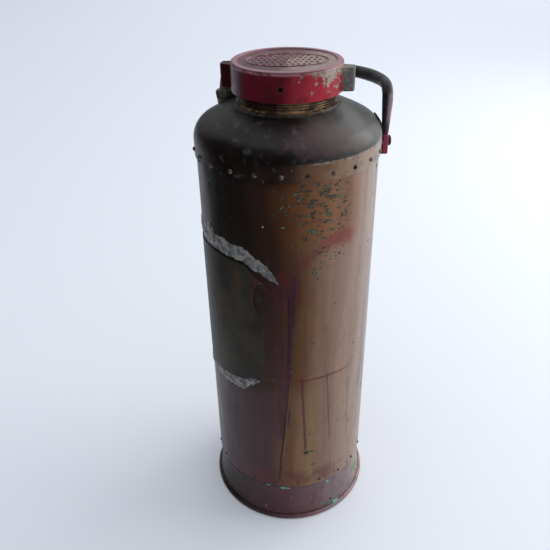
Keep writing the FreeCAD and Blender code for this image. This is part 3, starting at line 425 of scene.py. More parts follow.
    crust = 0.0
    for size, amount, seed in ((0.0105, 0.7, 21.0), (0.0075, 0.6, 25.0), (0.0048, 0.35, 27.0)):
        where = p.spot(19.0, 429.0, 26.0, 36.0, ragged=0.6, seed=seed)
        sparse = p.spot(23.0, 385.0, 20.0, 42.0, seed=seed + 1)
        share = p.math("MAXIMUM", p.times(where, amount), p.math("MAXIMUM", p.times(sparse, 0.2), 0.008))
        layer = p.specks(size, share, 0.4, (1, 1, 2.2), seed=seed, ragged=1.1)
        crust = p.math("MAXIMUM", crust, layer)
    green = p.mix(p.step(p.noise(0.012, 3.0, seed=28.0), 0.42, 0.6), "slate", "verdigris")
    crust_tone = p.mix(p.step(crust, 0.5, 0.95), "dark_verdigris", green)
    crusted = p.step(crust, 0.15, 0.45)
    base = p.mix(p.times(crusted, 0.85), base, crust_tone)
    flecks = p.specks(0.02, 0.02, 0.045, seed=22.0)
    base = p.mix(flecks, base, "white_speck")

    seam = p.step(p.math("ABSOLUTE", p.take(p.math("ABSOLUTE", p.turn()), 180.0)), 0.8, 0.3)
    base = p.mix(p.times(seam, p.step(broad, 0.36, 0.6), 0.5), base, "golden")

    grain = p.noise(0.0022, 4.0, seed=23.0)
    dents = p.noise(0.045, 2.0, (1, 1, 0.35), seed=24.0)
    rough = p.add(level(p, clouds, 0.28, 0.5), p.times(crusted, 0.4))
    normal = p.bump(dents, 0.0026)
    normal = p.bump(grain, 0.00006, 0.8, normal)
    normal = p.bump(crust, 0.0005, 0.9, normal)
    metal = p.times(p.between(turn, -60, 30, 110, 170), level(p, clouds, 0.75, 0.35))
    return p.finish(base, rough, metal, normal)


def dome_patina(name):
    """The dome: dark patina, near black on its dark side with painted shade, and greyer and greener towards
    the key light with painted reflection; browner on its skirt, which is shaded and lit the same way; with a
    worn edge at the crease that carries a painted highlight on the lit side, and old scratches."""
    p = Paint(name, specular=0.32)
    # Colour by turn: near black on the dark side with painted shade, greyer and greener towards the key light
    # with painted reflection.
    base = p.ramp(
        p.add(p.turn(), p.wobble(0.06, 12.0, seed=1.0)),
        -180,
        180,
        [
            (-180, "dark_patina"),
            (-90, "olive_black"),
            (-40, "near_black"),
            (4, "near_black"),
            (36, "dome_grey"),
            (70, "dome_green"),
            (120, "grey_green"),
            (180, "dark_patina"),
        ],
    )
    blotch = p.spot(24.0, 484.0, 26.0, 12.0, ragged=0.8, seed=2.0)
    base = p.mix(p.times(blotch, 0.3), base, "mauve_brown")
    skirt = p.step(p.add(p.rise, p.wobble(0.012, 2.4, 3.0, seed=3.0)), 470.0, 466.6)
    # The skirt by turn: near black on the dark side with painted shade, pale tans towards the key light with
    # painted reflection.
    skirt_tone = p.ramp(
        p.add(p.turn(), p.wobble(0.05, 9.0, seed=4.0)),
        -180,
        180,
        [
            (-180, "brown"),
            (-84, "olive_black"),
            (-40, "near_black"),
            (-8, "dark_umber"),
            (2, "umber"),
            (16, "warm_brown"),
            (30, "skirt_tan"),
            (54, "pale_skirt"),
            (76, "pale_tan"),
            (180, "brown"),
        ],
    )
    grimy = p.step(p.noise(0.012, 4.0, seed=5.0), 0.46, 0.7)
    skirt_tone = p.mix(p.times(grimy, 0.35), skirt_tone, "umber")
    base = p.mix(skirt, base, skirt_tone)
    # Painted highlight: a pale line along the crease, on the lit side only, over its worn edge.
    crease = p.times(
        p.step(p.math("ABSOLUTE", p.add(p.take(p.rise, 468.6), p.wobble(0.02, 0.8, seed=5.5))), 1.5, 0.2),
        p.between(p.turn(), 4, 26, 110, 150),
        p.step(p.noise(0.006, 3.0, seed=6.0), 0.38, 0.54),
    )
    base = p.mix(p.times(crease, 0.75), base, "pale_tan")
    clouds = p.noise(0.018, 5.0, seed=7.0)
    base = p.mix(p.times(p.step(clouds, 0.5, 0.7), 0.35), base, "near_black")
    base = p.mix(p.times(p.step(p.noise(0.01, 4.0, seed=7.5), 0.56, 0.7), 0.35), base, "grey_green")
    crust = p.specks(0.016, 0.12, 0.34, seed=8.0, ragged=0.6)
    base = p.mix(p.times(crust, 0.5), base, "dark_verdigris")
    scratches = p.step(p.noise(0.0035, 2.0, (1, 0.16, 0.5), seed=8.8), 0.7, 0.76)
    base = p.mix(p.times(scratches, 0.35), base, "pale_tan")
    flecks = p.specks(0.013, 0.06, 0.07, seed=9.0)
    base = p.mix(flecks, base, "white_speck")
    rough = p.add(level(p, clouds, 0.26, 0.5), p.times(crust, 0.3))
    normal = p.bump(p.noise(0.035, 2.0, seed=10.0), 0.0012)
    normal = p.bump(p.noise(0.0025, 4.0, seed=11.0), 0.00008, 0.8, normal)
    return p.finish(base, rough, p.times(p.step(clouds, 0.75, 0.35), 0.3), normal)


def foot_patina(name):
    """The foot ring: maroon dulled by dust, darker on its dark side with painted shade and paler towards the
    key light with painted reflection; its rolled edge carries painted shade on the dark side and a painted
    highlight on the lit side; with pale verdigris.
    """
    p = Paint(name, specular=0.35)
    clouds = p.noise(0.016, 5.0, (1, 1, 0.7), seed=1.0)
    # Colour by turn: darker on the dark side with painted shade, mauve grey to pale tan towards the key light
    # with painted reflection.
    base = p.ramp(
        p.add(p.turn(), p.wobble(0.05, 10.0, seed=2.0)),
        -180,
        180,
        [
            (-180, "brown"),
            (-84, "olive_grey"),
            (-54, "dark_umber"),
            (-20, "maroon_grey"),
            (0, "foot_maroon"),
            (14, "mauve_brown"),
            (36, "mauve_grey"),
            (90, "pale_tan"),
            (180, "brown"),
        ],
    )
    base = p.mix(p.times(p.step(clouds, 0.48, 0.7), 0.45), base, "purple_maroon")
    base = p.mix(p.times(p.step(p.noise(0.01, 4.0, seed=2.5), 0.55, 0.7), 0.35), base, "maroon")
    # The rolled edge: painted shade on its dark side and a painted pale highlight towards the key light.
    bead = p.step(p.add(p.rise, p.wobble(0.01, 0.8, seed=2.8)), 6.4, 5.0)
    bead_turn = p.add(p.turn(), p.wobble(0.012, 14.0, 4.0, seed=2.9))
    bead_tone = p.mix(p.between(bead_turn, -20, 50, 110, 160), "dark_grey_brown", "pale_pink")
    base = p.mix(p.times(bead, 0.5), base, bead_tone)
    crust_place = p.times(p.between(p.turn(), 20, 40, 84, 95), p.step(p.rise, 46, 30), 0.45)
    crust = p.specks(0.011, crust_place, 0.46, (1, 1, 1.5), seed=3.0, ragged=0.6)
    base = p.mix(p.times(crust, 0.65), base, "verdigris")
    scratches = p.step(p.noise(0.003, 3.0, (1, 1, 0.2), seed=4.0), 0.64, 0.74)
    base = p.mix(p.times(scratches, 0.4), base, "pale_pink")
    rough = p.add(level(p, clouds, 0.32, 0.55), p.times(crust, 0.3))
    normal = p.bump(p.noise(0.03, 2.0, seed=5.0), 0.0012)
    normal = p.bump(p.noise(0.0025, 4.0, seed=6.0), 0.00008, 0.8, normal)
    return p.finish(base, rough, p.times(p.step(clouds, 0.7, 0.4), 0.3), normal)


def cap_paint(name):
    """Crimson paint on gunmetal: nearly black on its dark side with painted shade, pale pink on top from dust
    and a painted reflection, with a painted highlight on the top's rim, and worn through round the rim, on the
    bright side and on the lugs."""
    p = Paint(name, specular=0.25)
    # The side by turn: nearly black on the dark side with painted shade, bright crimson towards the key light
    # with painted light.
    side = p.ramp(
        p.add(p.turn(), p.wobble(0.03, 6.0, seed=1.0)),
        -180,
        180,
        [
            (-180, "crimson"),
            (-84, "top_pink"),
            (-62, "purple_maroon"),
            (-38, "dark_crimson"),
            (-6, "dark_crimson"),
            (8, "crimson"),
            (34, "bright_crimson"),
            (180, "crimson"),
        ],
    )
    side = p.mix(p.times(p.step(p.noise(0.012, 4.0, seed=1.5), 0.48, 0.68), 0.35), side, "deep_crimson")
    top = p.step(p.rise, 536.2, 537.4)
    outward = p.outward()
    lug = p.step(outward, CAP_SIDE + 0.1, CAP_SIDE + 0.7)
    hidden = p.times(p.step(outward, 48.9, 48.5), p.take(1.0, top))
    chips = p.noise(0.0075, 6.0, seed=2.0, roughness=0.7)
    worn_side = p.times(p.between(p.turn(), 8, 50, 110, 165), p.step(p.rise, 508, 534))
    limit = p.take(0.68, p.times(worn_side, 0.22))
    rim = p.times(p.step(p.rise, 530.0, 535.0), p.between(p.turn(), -10, 26, 120, 170))
    limit = p.take(limit, p.times(rim, 0.1))
    bare = p.step(p.take(chips, limit), -0.014, 0.014)
    small = p.specks(0.005, p.times(p.between(p.turn(), 0, 50, 110, 165), 0.4), 0.34, seed=3.0, ragged=0.5)
    bare = p.math("MAXIMUM", bare, p.step(small, 0.2, 0.5))
    lone = p.specks(0.014, 0.1, 0.12, seed=3.5)
    bare = p.math("MAXIMUM", bare, lone)
    metal_tone = p.mix(p.step(p.noise(0.005, 4.0, seed=4.0), 0.46, 0.66), "pale_metal", "worn_metal")
    metal_tone = p.mix(p.step(p.noise(0.003, 3.0, seed=4.5), 0.56, 0.66), metal_tone, "pale_pink")
    # Painted shade: bare metal goes dark away from the key light.
    metal_tone = p.mix(p.between(p.turn(), -16, 12, 120, 170), "dark_grey_brown", metal_tone)
    base = p.mix(bare, side, metal_tone)

    front_worn = p.between(p.turn(), -84, -62, 28, 52)
    back_worn = p.math("MAXIMUM", p.step(p.turn(), 112, 138), p.step(p.turn(), -150, -172))
    crescent = p.times(p.step(outward, 21, 30), p.math("MAXIMUM", front_worn, back_worn), 0.3)
    worn_top = p.step(p.add(p.noise(0.018, 5.0, seed=5.0), crescent), 0.58, 0.66)
    # The top: pale pink from dust and a painted reflection of the sky, worn dark in places.
    dust_and_sheen = p.mix(p.step(p.noise(0.009, 4.0, seed=6.0), 0.32, 0.66), "mauve", "top_pink")
    worn_tone = p.mix(p.step(p.noise(0.006, 4.0, seed=6.2), 0.4, 0.65), "near_black", "dark_grey_brown")
    base = p.mix(top, base, p.mix(p.times(worn_top, 0.85), dust_and_sheen, worn_tone))
    # Painted highlight on the rim of the top.
    ring = p.times(p.between(outward, 46.4, 47.2, CAP_SIDE - 1.6, CAP_SIDE - 0.4), top)
    base = p.mix(p.times(ring, 0.75), base, "pale_pink")
    sheen = p.times(p.step(p.rise, 533.8, 535.6), p.take(1.0, top))
    sheen = p.times(sheen, p.step(p.noise(0.01, 3.0, seed=6.5), 0.3, 0.55))
    base = p.mix(p.times(sheen, 0.6), base, "pale_pink")
    lug_worn = p.mix(p.step(p.noise(0.006, 4.0, seed=6.8), 0.5, 0.7), "worn_grey", metal_tone)
    lug_tone = p.mix(p.step(p.turn(), -20, 20), p.mix(0.5, "near_black", "dark_crimson"), lug_worn)
    base = p.mix(lug, base, lug_tone)
    base = p.mix(hidden, base, metal_tone)
    vent = p.spot(-5.2, 523.2, 3.4, 3.2, 0.15, seed=7.0)
    base = p.mix(p.times(vent, p.take(1.0, lug), 0.85), base, "dark_verdigris")
    bare = p.math("MAXIMUM", p.times(bare, p.take(1.0, top)), p.math("MAXIMUM", lug, hidden))
    paint_edge = p.bump(p.take(1.0, bare), 0.0002, 0.9)
    normal = p.bump(p.noise(0.004, 4.0, seed=8.0), 0.0002, 0.8, paint_edge)
    rough = p.add(level(p, p.noise(0.01, 4.0, seed=9.0), 0.26, 0.46), p.times(bare, 0.12))
    return p.finish(base, rough, p.times(bare, 0.45), normal)


def relief_paint(name):
    """Dusty crimson on the raised pattern of the cap's top."""
    p = Paint(name, specular=0.5)
    worn = p.step(p.noise(0.006, 4.0, seed=1.0), 0.45, 0.6)
    base = p.mix(p.times(worn, 0.7), "maroon", "pale_pink")
    normal = p.bump(p.noise(0.002, 3.0, seed=2.0), 0.0001)
    return p.finish(base, level(p, worn, 0.35, 0.5), 0.0, normal)


def neck_brass(name):
    """Brass thread, darkened on the left with painted shade, with red paint left in its grooves on the right.
    """
    p = Paint(name, specular=0.45)
    # Painted shade: the thread darkens away from the key light.
    dark = p.take(1.0, p.between(p.add(p.turn(), p.wobble(0.02, 14.0, seed=1.0)), -26, 14, 100, 160))
    base = p.mix(p.step(p.noise(0.01, 4.0, seed=2.0), 0.35, 0.65), "dark_brass", "bright_brass")
    outward = p.outward()
    groove = p.step(outward, 47.7, 47.0)
    red_low = p.times(p.step(p.rise, 508, 500), p.between(p.turn(), 10, 40, 100, 150), 0.16)
    red = p.times(p.step(p.add(p.noise(0.014, 3.0, (1, 1, 0.7), seed=3.0), red_low), 0.5, 0.58), 0.8)
    base = p.mix(red, base, "maroon")
    base = p.mix(p.times(groove, 0.6), base, "near_black")
    base = p.mix(p.times(dark, 0.9), base, "dark_umber")
    line = p.between(p.rise, 499.2, 499.8, 501.0, 501.6)
    line = p.times(line, p.step(p.noise(0.008, 3.0, seed=4.0), 0.5, 0.62))
    base = p.mix(line, base, "brass")
    normal = p.bump(p.noise(0.0015, 3.0, seed=5.0), 0.00008)
    rough = level(p, p.noise(0.01, 3.0, seed=6.0), 0.3, 0.5)
    return p.finish(base, rough, p.times(p.take(1.0, dark), 0.5), normal)


def handle_iron(name):
    """Dark forged iron with a painted pale highlight on the outside of the legs, and purple and crimson paint
    on its feet.
    """
    p = Paint(name, specular=0.4)
    clouds = p.noise(0.008, 5.0, (1, 1, 0.5), seed=1.0)
    base = p.mix(p.step(clouds, 0.4, 0.62), "iron", "near_black")
    outward = p.outward()
    painted = p.step(p.add(p.rise, p.wobble(0.012, 8.0, 4.0, seed=3.0)), 500, 452)
    base = p.mix(p.times(painted, 0.5), base, "purple_maroon")
    # Painted highlight: the legs' outer faces are painted pale and made more metallic.
    rubbed_and_sheen = p.times(
        p.step(p.noise(0.007, 4.0, (1, 1, 0.3), seed=2.0), 0.34, 0.5),
        p.step(outward, 96.4, 99.4),
        p.between(p.rise, 468, 482, 500, 506),
    )
    base = p.mix(p.times(rubbed_and_sheen, 0.85), base, "pale_iron_highlight")
    foot = p.step(p.add(p.rise, p.wobble(0.006, 3.0, 4.0, seed=4.0)), 466, 461)
    base = p.mix(p.times(foot, p.step(clouds, 0.78, 0.6)), base, "foot_crimson")
    normal = p.bump(p.noise(0.004, 4.0, seed=5.0), 0.0003, 0.8)
    return p.finish(base, level(p, clouds, 0.32, 0.56), p.times(rubbed_and_sheen, 0.4), normal)


def plain_metal(name, light, dark, size=0.01, metallic=0.5, roughness=(0.35, 0.55), spotted=None):
    """A worn metal that clouds between two colours, with a fine grain and perhaps spots."""
    p = Paint(name, specular=0.45)
    clouds = p.noise(size, 5.0, seed=1.0)
    base = p.mix(p.step(clouds, 0.38, 0.64), dark, light)
    if spotted:
        base = p.mix(p.times(p.specks(size * 0.8, 0.3, 0.4, seed=2.0), 0.8), base, spotted)
    normal = p.bump(p.noise(size * 0.2, 4.0, seed=3.0), 0.0001)
    return p.finish(base, level(p, clouds, *roughness), metallic, normal)


def plate_brass(name):
    """The instruction plate: dull olive brown, rubbed and scratched, with red paint lapping its corner."""
    p = Paint(name, specular=0.2)
    clouds = p.noise(0.03, 4.0, seed=1.0)
    base = p.mix(p.step(clouds, 0.35, 0.65), "plate_dark", "plate_olive")
    stripes = p.step(p.noise(0.01, 3.0, (1, 1, 0.12), seed=2.0), 0.52, 0.7)
    base = p.mix(p.times(stripes, 0.35), base, "brown")
    rubbed_and_sheen = p.step(p.noise(0.002, 3.0, (1, 1, 0.3), seed=3.0), 0.66, 0.78)
    base = p.mix(p.times(rubbed_and_sheen, 0.3), base, "solder_dark")
    corner = p.step(p.add(p.turn(), p.wobble(0.012, 5.0, 3.0, seed=4.0)), -24, -19)
    corner = p.times(corner, p.step(p.rise, 312, 330))
    base = p.mix(p.times(corner, 0.7), base, "maroon")
    normal = p.bump(p.noise(0.02, 2.0, seed=5.0), 0.0005)
    normal = p.bump(p.noise(0.002, 4.0, seed=6.0), 0.00006, 0.7, normal)
    return p.finish(base, level(p, clouds, 0.36, 0.54), 0.15, normal)


def solder_residue(name):
    """Dull lead-grey solder with lighter lumps and dirt in its hollows."""
    p = Paint(name, specular=0.4)
    clouds = p.noise(0.006, 5.0, seed=1.0)
    base = p.mix(p.step(clouds, 0.36, 0.6), "solder_dark", "solder")
    base = p.mix(p.times(p.step(p.noise(0.02, 3.0, seed=2.0), 0.5, 0.62), 0.6), base, "solder_dark")
    pits = p.specks(0.004, 0.25, 0.35, seed=3.0)
    base = p.mix(p.times(pits, 0.5), base, "dark_grey_brown")
    normal = p.bump(clouds, 0.0006, 0.9)
    return p.finish(base, level(p, clouds, 0.6, 0.42), 0.2, normal)


def verdigris_crust(name):
    """Chalky copper green, paler on its lumps."""
    p = Paint(name, specular=0.25)
    lumps = p.noise(0.003, 4.0, seed=1.0)
    base = p.mix(p.step(lumps, 0.36, 0.62), "verdigris", "bright_verdigris")
    return p.finish(base, level(p, lumps, 0.7, 0.9), 0.0, p.bump(lumps, 0.0004))


def grained_leather(name):
    """Greased leather of the washers."""
    p = Paint(name, specular=0.4)
    grain = p.noise(0.0016, 4.0, seed=1.0)
    base = p.mix(p.step(grain, 0.35, 0.65), "near_black", "leather")
    return p.finish(base, level(p, grain, 0.5, 0.7), 0.0, p.bump(grain, 0.0002))


MATERIALS = {
    "body_shell": copper_patina("copper_body"),
    "top_dome": dome_patina("copper_dome"),
    "foot_ring": foot_patina("copper_foot"),
    "cap": cap_paint("red_cap"),
    "neck_collar": neck_brass("brass_neck"),
    "instruction_plate": plate_brass("plate_brass"),
}
iron = handle_iron("iron_handle")
MATERIALS["handle"] = iron
bolt_iron = plain_metal("iron_bolts", "iron", "near_black", 0.005, 0.4, (0.35, 0.5))
for node in ("right_saddle", "left_saddle", "handle_bolts", "handle_nuts", "backing_plates"):
    MATERIALS[node] = bolt_iron
rivet_copper = plain_metal("copper_rivet", "worn_metal", "near_black", 0.003, 0.5, (0.25, 0.45))
MATERIALS["top_rivets"] = MATERIALS["bottom_rivets"] = rivet_copper
dark_brass = plain_metal("brass_dark", "boss_brass", "dark_grey_brown", 0.012, 0.35, (0.35, 0.55), "dark_verdigris")
MATERIALS["outlet_boss"] = MATERIALS["nozzle"] = dark_brass
inner_copper = plain_metal("copper_vessel", "old_copper", "brown", 0.02, 0.7, (0.3, 0.5), "dark_verdigris")
MATERIALS["inner_vessel"] = MATERIALS["strainer"] = inner_copper
MATERIALS["bottom_head"] = plain_metal("copper_bottom", "tan", "maroon", 0.03, 0.4, (0.35, 0.55), "verdigris")
MATERIALS["vessel_collar"] = plain_metal("brass_collar", "brass", "dark_brass", 0.01, 0.6)
MATERIALS["stopper"] = plain_metal("lead_stopper", "lead", "solder_dark", 0.008, 0.4, (0.45, 0.65))
MATERIALS["foot_ring_wire"] = plain_metal("steel_wire", "iron", "brown", 0.006, 0.6)
MATERIALS["neck_solder_ring"] = plain_metal("solder_ring", "dark_brass", "near_black", 0.006, 0.3)
leather = grained_leather("washer_leather")
MATERIALS["cap_washer"] = MATERIALS["nozzle_washer"] = leather
for node, material in MATERIALS.items():
    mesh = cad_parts[node].data
    mesh.materials.clear()
    mesh.materials.append(material)


def skin_tree(*nodes):
    """The surfaces of some CAD nodes, to lay pieces on."""
    corners = []
    faces = []
    for node in nodes:
        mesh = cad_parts[node].data
        first = len(corners)
        corners += [vertex.co.copy() for vertex in mesh.vertices]
        faces += [[first + index for index in face.vertices] for face in mesh.polygons]
    return BVHTree.FromPolygons(corners, faces)


SHELL_SKIN = skin_tree("body_shell", "foot_ring", "top_dome")
CAST_FROM = 0.14


def on_shell(turn, rise, lift=0.0):
    """The point of the shell's outside at a turn in degrees and a height in metres, lifted off it."""
    angle = math.radians(turn)
    outward = Vector((math.cos(angle), math.sin(angle), 0))
    start = outward * CAST_FROM + Vector((0, 0, rise))
    hit = SHELL_SKIN.ray_cast(start, -outward)[0]
    return hit + outward * lift


def close_sheet(mesh, outside, inside):
    """Faces over two matching grids of vertices and round their edges, so that they close a solid."""
    rows = len(outside)
    columns = len(outside[0])
    for grid, flip in ((outside, False), (inside, True)):
        for row in range(rows - 1):
            for column in range(columns - 1):
                ring = [
                    grid[row][column],
                    grid[row][column + 1],
                    grid[row + 1][column + 1],
                    grid[row + 1][column],
                ]
                mesh.faces.new(ring[::-1] if flip else ring)
    border = [(0, column) for column in range(columns)]
    border += [(row, columns - 1) for row in range(1, rows)]
    border += [(rows - 1, column) for column in range(columns - 2, -1, -1)]
    border += [(row, 0) for row in range(rows - 2, 0, -1)]
    for here, after in zip(border, border[1:] + border[:1]):
        mesh.faces.new(
            [
                outside[after[0]][after[1]],
                outside[here[0]][here[1]],
                inside[here[0]][here[1]],
                inside[after[0]][after[1]],
            ]
        )


def add_piece(name, mesh, material, body):
    """A smooth-shaded piece from a bmesh, riding on a body."""
    bmesh.ops.recalc_face_normals(mesh, faces=mesh.faces)
    data = bpy.data.meshes.new(name)
    mesh.to_mesh(data)
    mesh.free()
    for face in data.polygons:
        face.use_smooth = True
    data.materials.append(material)
    piece = bpy.data.objects.new(name, data)
    bpy.context.scene.collection.objects.link(piece)
    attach(piece, body)


def between_stations(stations, turn):
    """The low and high edge at a turn, eased between the given stations."""
    for (turn_a, low_a, high_a), (turn_b, low_b, high_b) in zip(stations, stations[1:]):
        if turn <= turn_b:
            share = (turn - turn_a) / (turn_b - turn_a)
            share = share * share * (3 - 2 * share)
            return low_a + (low_b - low_a) * share, high_a + (high_b - high_a) * share
    return stations[-1][1:]


BAND_STEP = 0.5
BAND_ROWS = 14
BAND_SUNK = -0.0004
# The raggedness of a band's edges, fine and coarse: its strength in mm, and noise cells a degree.
BAND_FINE = (2.2, 0.55)
BAND_COARSE = (2.5, 0.14)
# What moves the noise of a band's upper edge away from that of its lower edge.
UPPER_EDGE = Vector((0, 9, 0))
# The degrees over which each end of a band runs out.
BAND_TAPER = 4.0


def solder_band(name, stations, thickness, seed):
    """A ragged, lumpy strip of old solder on the tube. Stations are (turn, low edge, high edge) in mm."""
    mesh = bmesh.new()
    first = stations[0][0]
    last = stations[-1][0]
    columns = round((last - first) / BAND_STEP)
    outside = []
    inside = []
    for column in range(columns + 1):
        turn = first + (last - first) * column / columns
        low, high = between_stations(stations, turn)
        fine = Vector((turn * BAND_FINE[1], seed, 0))
        coarse = Vector((turn * BAND_COARSE[1], seed, 5.0))
        low += BAND_FINE[0] * noise.noise(fine) + BAND_COARSE[0] * noise.noise(coarse)
        fine += UPPER_EDGE
        coarse += UPPER_EDGE
        high += BAND_FINE[0] * noise.noise(fine) + BAND_COARSE[0] * noise.noise(coarse)
        high = max(high, low + 1.0)
        taper = min(1.0, (turn - first) / BAND_TAPER, (last - turn) / BAND_TAPER)
        top_row = []
        under_row = []
        for row in range(BAND_ROWS + 1):
            share = row / BAND_ROWS
            rise = (low + (high - low) * share) * MM
            crown = (4 * share * (1 - share)) ** 0.4
            lump = 0.62 + 0.5 * noise.noise(Vector((turn * 0.4, rise * 220, seed)))
            lift = thickness * crown * lump * max(taper, 0.05) ** 0.5
            top_row.append(mesh.verts.new(on_shell(turn, rise, lift)))
            under_row.append(mesh.verts.new(on_shell(turn, rise, BAND_SUNK)))
        outside.append(top_row)
        inside.append(under_row)
    close_sheet(mesh, outside, inside)
    add_piece(name, mesh, RESIDUE, "shell")


RESIDUE = solder_residue("solder_residue")
UPPER_BAND = [
    (231, 375, 379),
    (240, 369, 384),
    (256, 367, 386),
    (266, 367, 391),
    (277, 367, 384),
    (288, 366, 382),
    (297, 365, 381),
    (307, 357, 371),
    (312, 352, 366),
    (316, 348, 358),
    (320, 345, 348),
]
LOWER_BAND = [
    (230, 199, 201),
    (238, 197, 204),
    (253, 196, 202),
    (262, 196, 207),
    (272, 197, 212),
    (283, 198, 213),
    (293, 199, 214),
    (300, 209, 219),
    (306, 215, 218),
]
solder_band("solder_band_upper", UPPER_BAND, 1.5 * MM, 3.0)
solder_band("solder_band_lower", LOWER_BAND, 1.6 * MM, 8.0)

CRUST_RINGS = 6
CRUST_SPOKES = 22
CRUST_THICKNESS = 0.7 * MM
FIRST_CRUST_SEED = 2.0
DROP_TURN = 338.5
DROP_RISE = 0.1105
DROP_REACH = 3.3 * MM
DROP_THICKNESS = 0.9 * MM
DROP_SEED = 30.0


def crust_patch(mesh, turn, rise, reach, height, thickness, seed):
    """Adds one ragged lump of crust at a turn and a height, reaching that far along and up in metres."""
    radius = on_shell(turn, rise).xy.length
    middle = mesh.verts.new(on_shell(turn, rise, thickness))
    foot = mesh.verts.new(on_shell(turn, rise, BAND_SUNK))
    previous = None
    for ring in range(1, CRUST_RINGS + 1):
        share = ring / CRUST_RINGS
        loop = []
        for spoke in range(CRUST_SPOKES):
            angle = 2 * math.pi * spoke / CRUST_SPOKES
            ragged = 1 + 0.5 * noise.noise(Vector((math.cos(angle) * 1.6, math.sin(angle) * 1.6, seed)))
            along = math.cos(angle) * reach * share * ragged
            up = math.sin(angle) * height * share * ragged
            lump = 1 + 0.6 * noise.noise(Vector((along * 700, up * 700, seed)))
            lift = thickness * (1 - share**3) * lump if ring < CRUST_RINGS else BAND_SUNK
            loop.append(mesh.verts.new(on_shell(turn + math.degrees(along / radius), rise + up, lift)))
        for spoke in range(CRUST_SPOKES):
            after = (spoke + 1) % CRUST_SPOKES
            if previous is None:
                mesh.faces.new([middle, loop[spoke], loop[after]])
            else:
                mesh.faces.new([previous[spoke], loop[spoke], loop[after], previous[after]])
            if ring == CRUST_RINGS:
                mesh.faces.new([foot, loop[after], loop[spoke]])
        previous = loop


GREEN = verdigris_crust("verdigris_crust")
# Each crust on the foot: its turn, its height, and its reach along and up, in degrees and mm.
FOOT_CRUSTS = [
    (309.5, 52.4, 3.4, 1.6),
    (321.0, 50.4, 4.6, 1.3),
    (325.0, 50.0, 2.4, 1.2),
    (356.5, 47.5, 3.4, 2.6),
    (20.0, 9.0, 3.0, 2.6),
    (33.0, 30.0, 1.6, 6.5),
    (37.0, 16.0, 1.8, 5.0),
    (4.0, 6.5, 5.0, 1.6),
]
crusts = bmesh.new()
for number, (turn, rise, reach, height) in enumerate(FOOT_CRUSTS):
    seed = FIRST_CRUST_SEED + number
    crust_patch(crusts, turn, rise * MM, reach * MM, height * MM, CRUST_THICKNESS, seed)
add_piece("verdigris_crusts", crusts, GREEN, "shell")

drop = bmesh.new()
crust_patch(drop, DROP_TURN, DROP_RISE, DROP_REACH, DROP_REACH, DROP_THICKNESS, DROP_SEED)
add_piece(
    "verdigris_drop",
    drop,
    plain_metal("dark_crust", "dark_verdigris", "olive_black", 0.003, 0.0, (0.6, 0.8)),
    "shell",
)

# The cap's top carries a generic raised pattern: an oval rim round rows of plain pips.
CAP_FLOOR = 0.5368
RELIEF_TURN = 57.0
OVAL = (0.0385, 0.0255)
OVAL_RIM = 0.0011
OVAL_STEPS = 96
RIM_STEPS = 10
PIP_RADIUS = 0.0015
PIP_HEIGHT = 0.0009
PIP_PITCH = 0.0052
PIP_ROWS = 5
PIP_ROW_PITCH = 0.0085
PIP_SPOKES = 12
RELIEF_SUNK = 0.0002


def oval_rim(mesh):
    """A half-round bead along an ellipse, its flat side down in the cap."""
    loops = []
    for step in range(OVAL_STEPS):
        angle = 2 * math.pi * step / OVAL_STEPS
        centre = Vector((OVAL[0] * math.cos(angle), OVAL[1] * math.sin(angle), 0))
        away = Vector((math.cos(angle) / OVAL[0], math.sin(angle) / OVAL[1], 0)).normalized()
        loop = []
        for part in range(RIM_STEPS + 1):
            tilt = math.pi * part / RIM_STEPS
            height = OVAL_RIM * 0.8 * math.sin(tilt) - RELIEF_SUNK * (part in (0, RIM_STEPS))
            loop.append(mesh.verts.new(centre + away * OVAL_RIM * math.cos(tilt) + Vector((0, 0, height))))
        loops.append(loop)
    for loop, after in zip(loops, loops[1:] + loops[:1]):
        for part in range(RIM_STEPS + 1):
            other = (part + 1) % (RIM_STEPS + 1)
            mesh.faces.new([loop[part], after[part], after[other], loop[other]])


def pip(mesh, x, y):
    """A low round dot with a flat foot."""
    top = mesh.verts.new((x, y, PIP_HEIGHT))
    foot = mesh.verts.new((x, y, -RELIEF_SUNK))
    rings = []
    for share, height in ((0.45, 0.92), (0.8, 0.62), (1.0, 0.1), (1.0, -RELIEF_SUNK / PIP_HEIGHT)):
        ring = []
        for spoke in range(PIP_SPOKES):
            angle = 2 * math.pi * spoke / PIP_SPOKES
            side = PIP_RADIUS * share
            place = (x + side * math.cos(angle), y + side * math.sin(angle), PIP_HEIGHT * height)
            ring.append(mesh.verts.new(place))
        rings.append(ring)
    for spoke in range(PIP_SPOKES):
        after = (spoke + 1) % PIP_SPOKES
        mesh.faces.new([top, rings[0][spoke], rings[0][after]])
        mesh.faces.new([foot, rings[-1][after], rings[-1][spoke]])
        for ring, outer in zip(rings, rings[1:]):
            mesh.faces.new([ring[spoke], outer[spoke], outer[after], ring[after]])


relief = bmesh.new()
oval_rim(relief)
for row in range(PIP_ROWS):
    across = (row - (PIP_ROWS - 1) / 2) * PIP_ROW_PITCH
    half = (OVAL[0] - 2.5 * PIP_RADIUS) * math.sqrt(max(0.0, 1 - (across / (OVAL[1] - PIP_RADIUS)) ** 2))
    count = int(half // PIP_PITCH)
    shift = 0.5 * (row % 2)
    for number in range(-count, count + 1):
        if abs((number + shift) * PIP_PITCH) <= half:
            pip(relief, (number + shift) * PIP_PITCH, across)
bmesh.ops.transform(
    relief,
    matrix=Matrix.Translation((0, 0, CAP_FLOOR)) @ Matrix.Rotation(math.radians(RELIEF_TURN), 4, "Z"),
    verts=relief.verts,
)
add_piece("cap_relief", relief, relief_paint("relief_paint"), "cap")


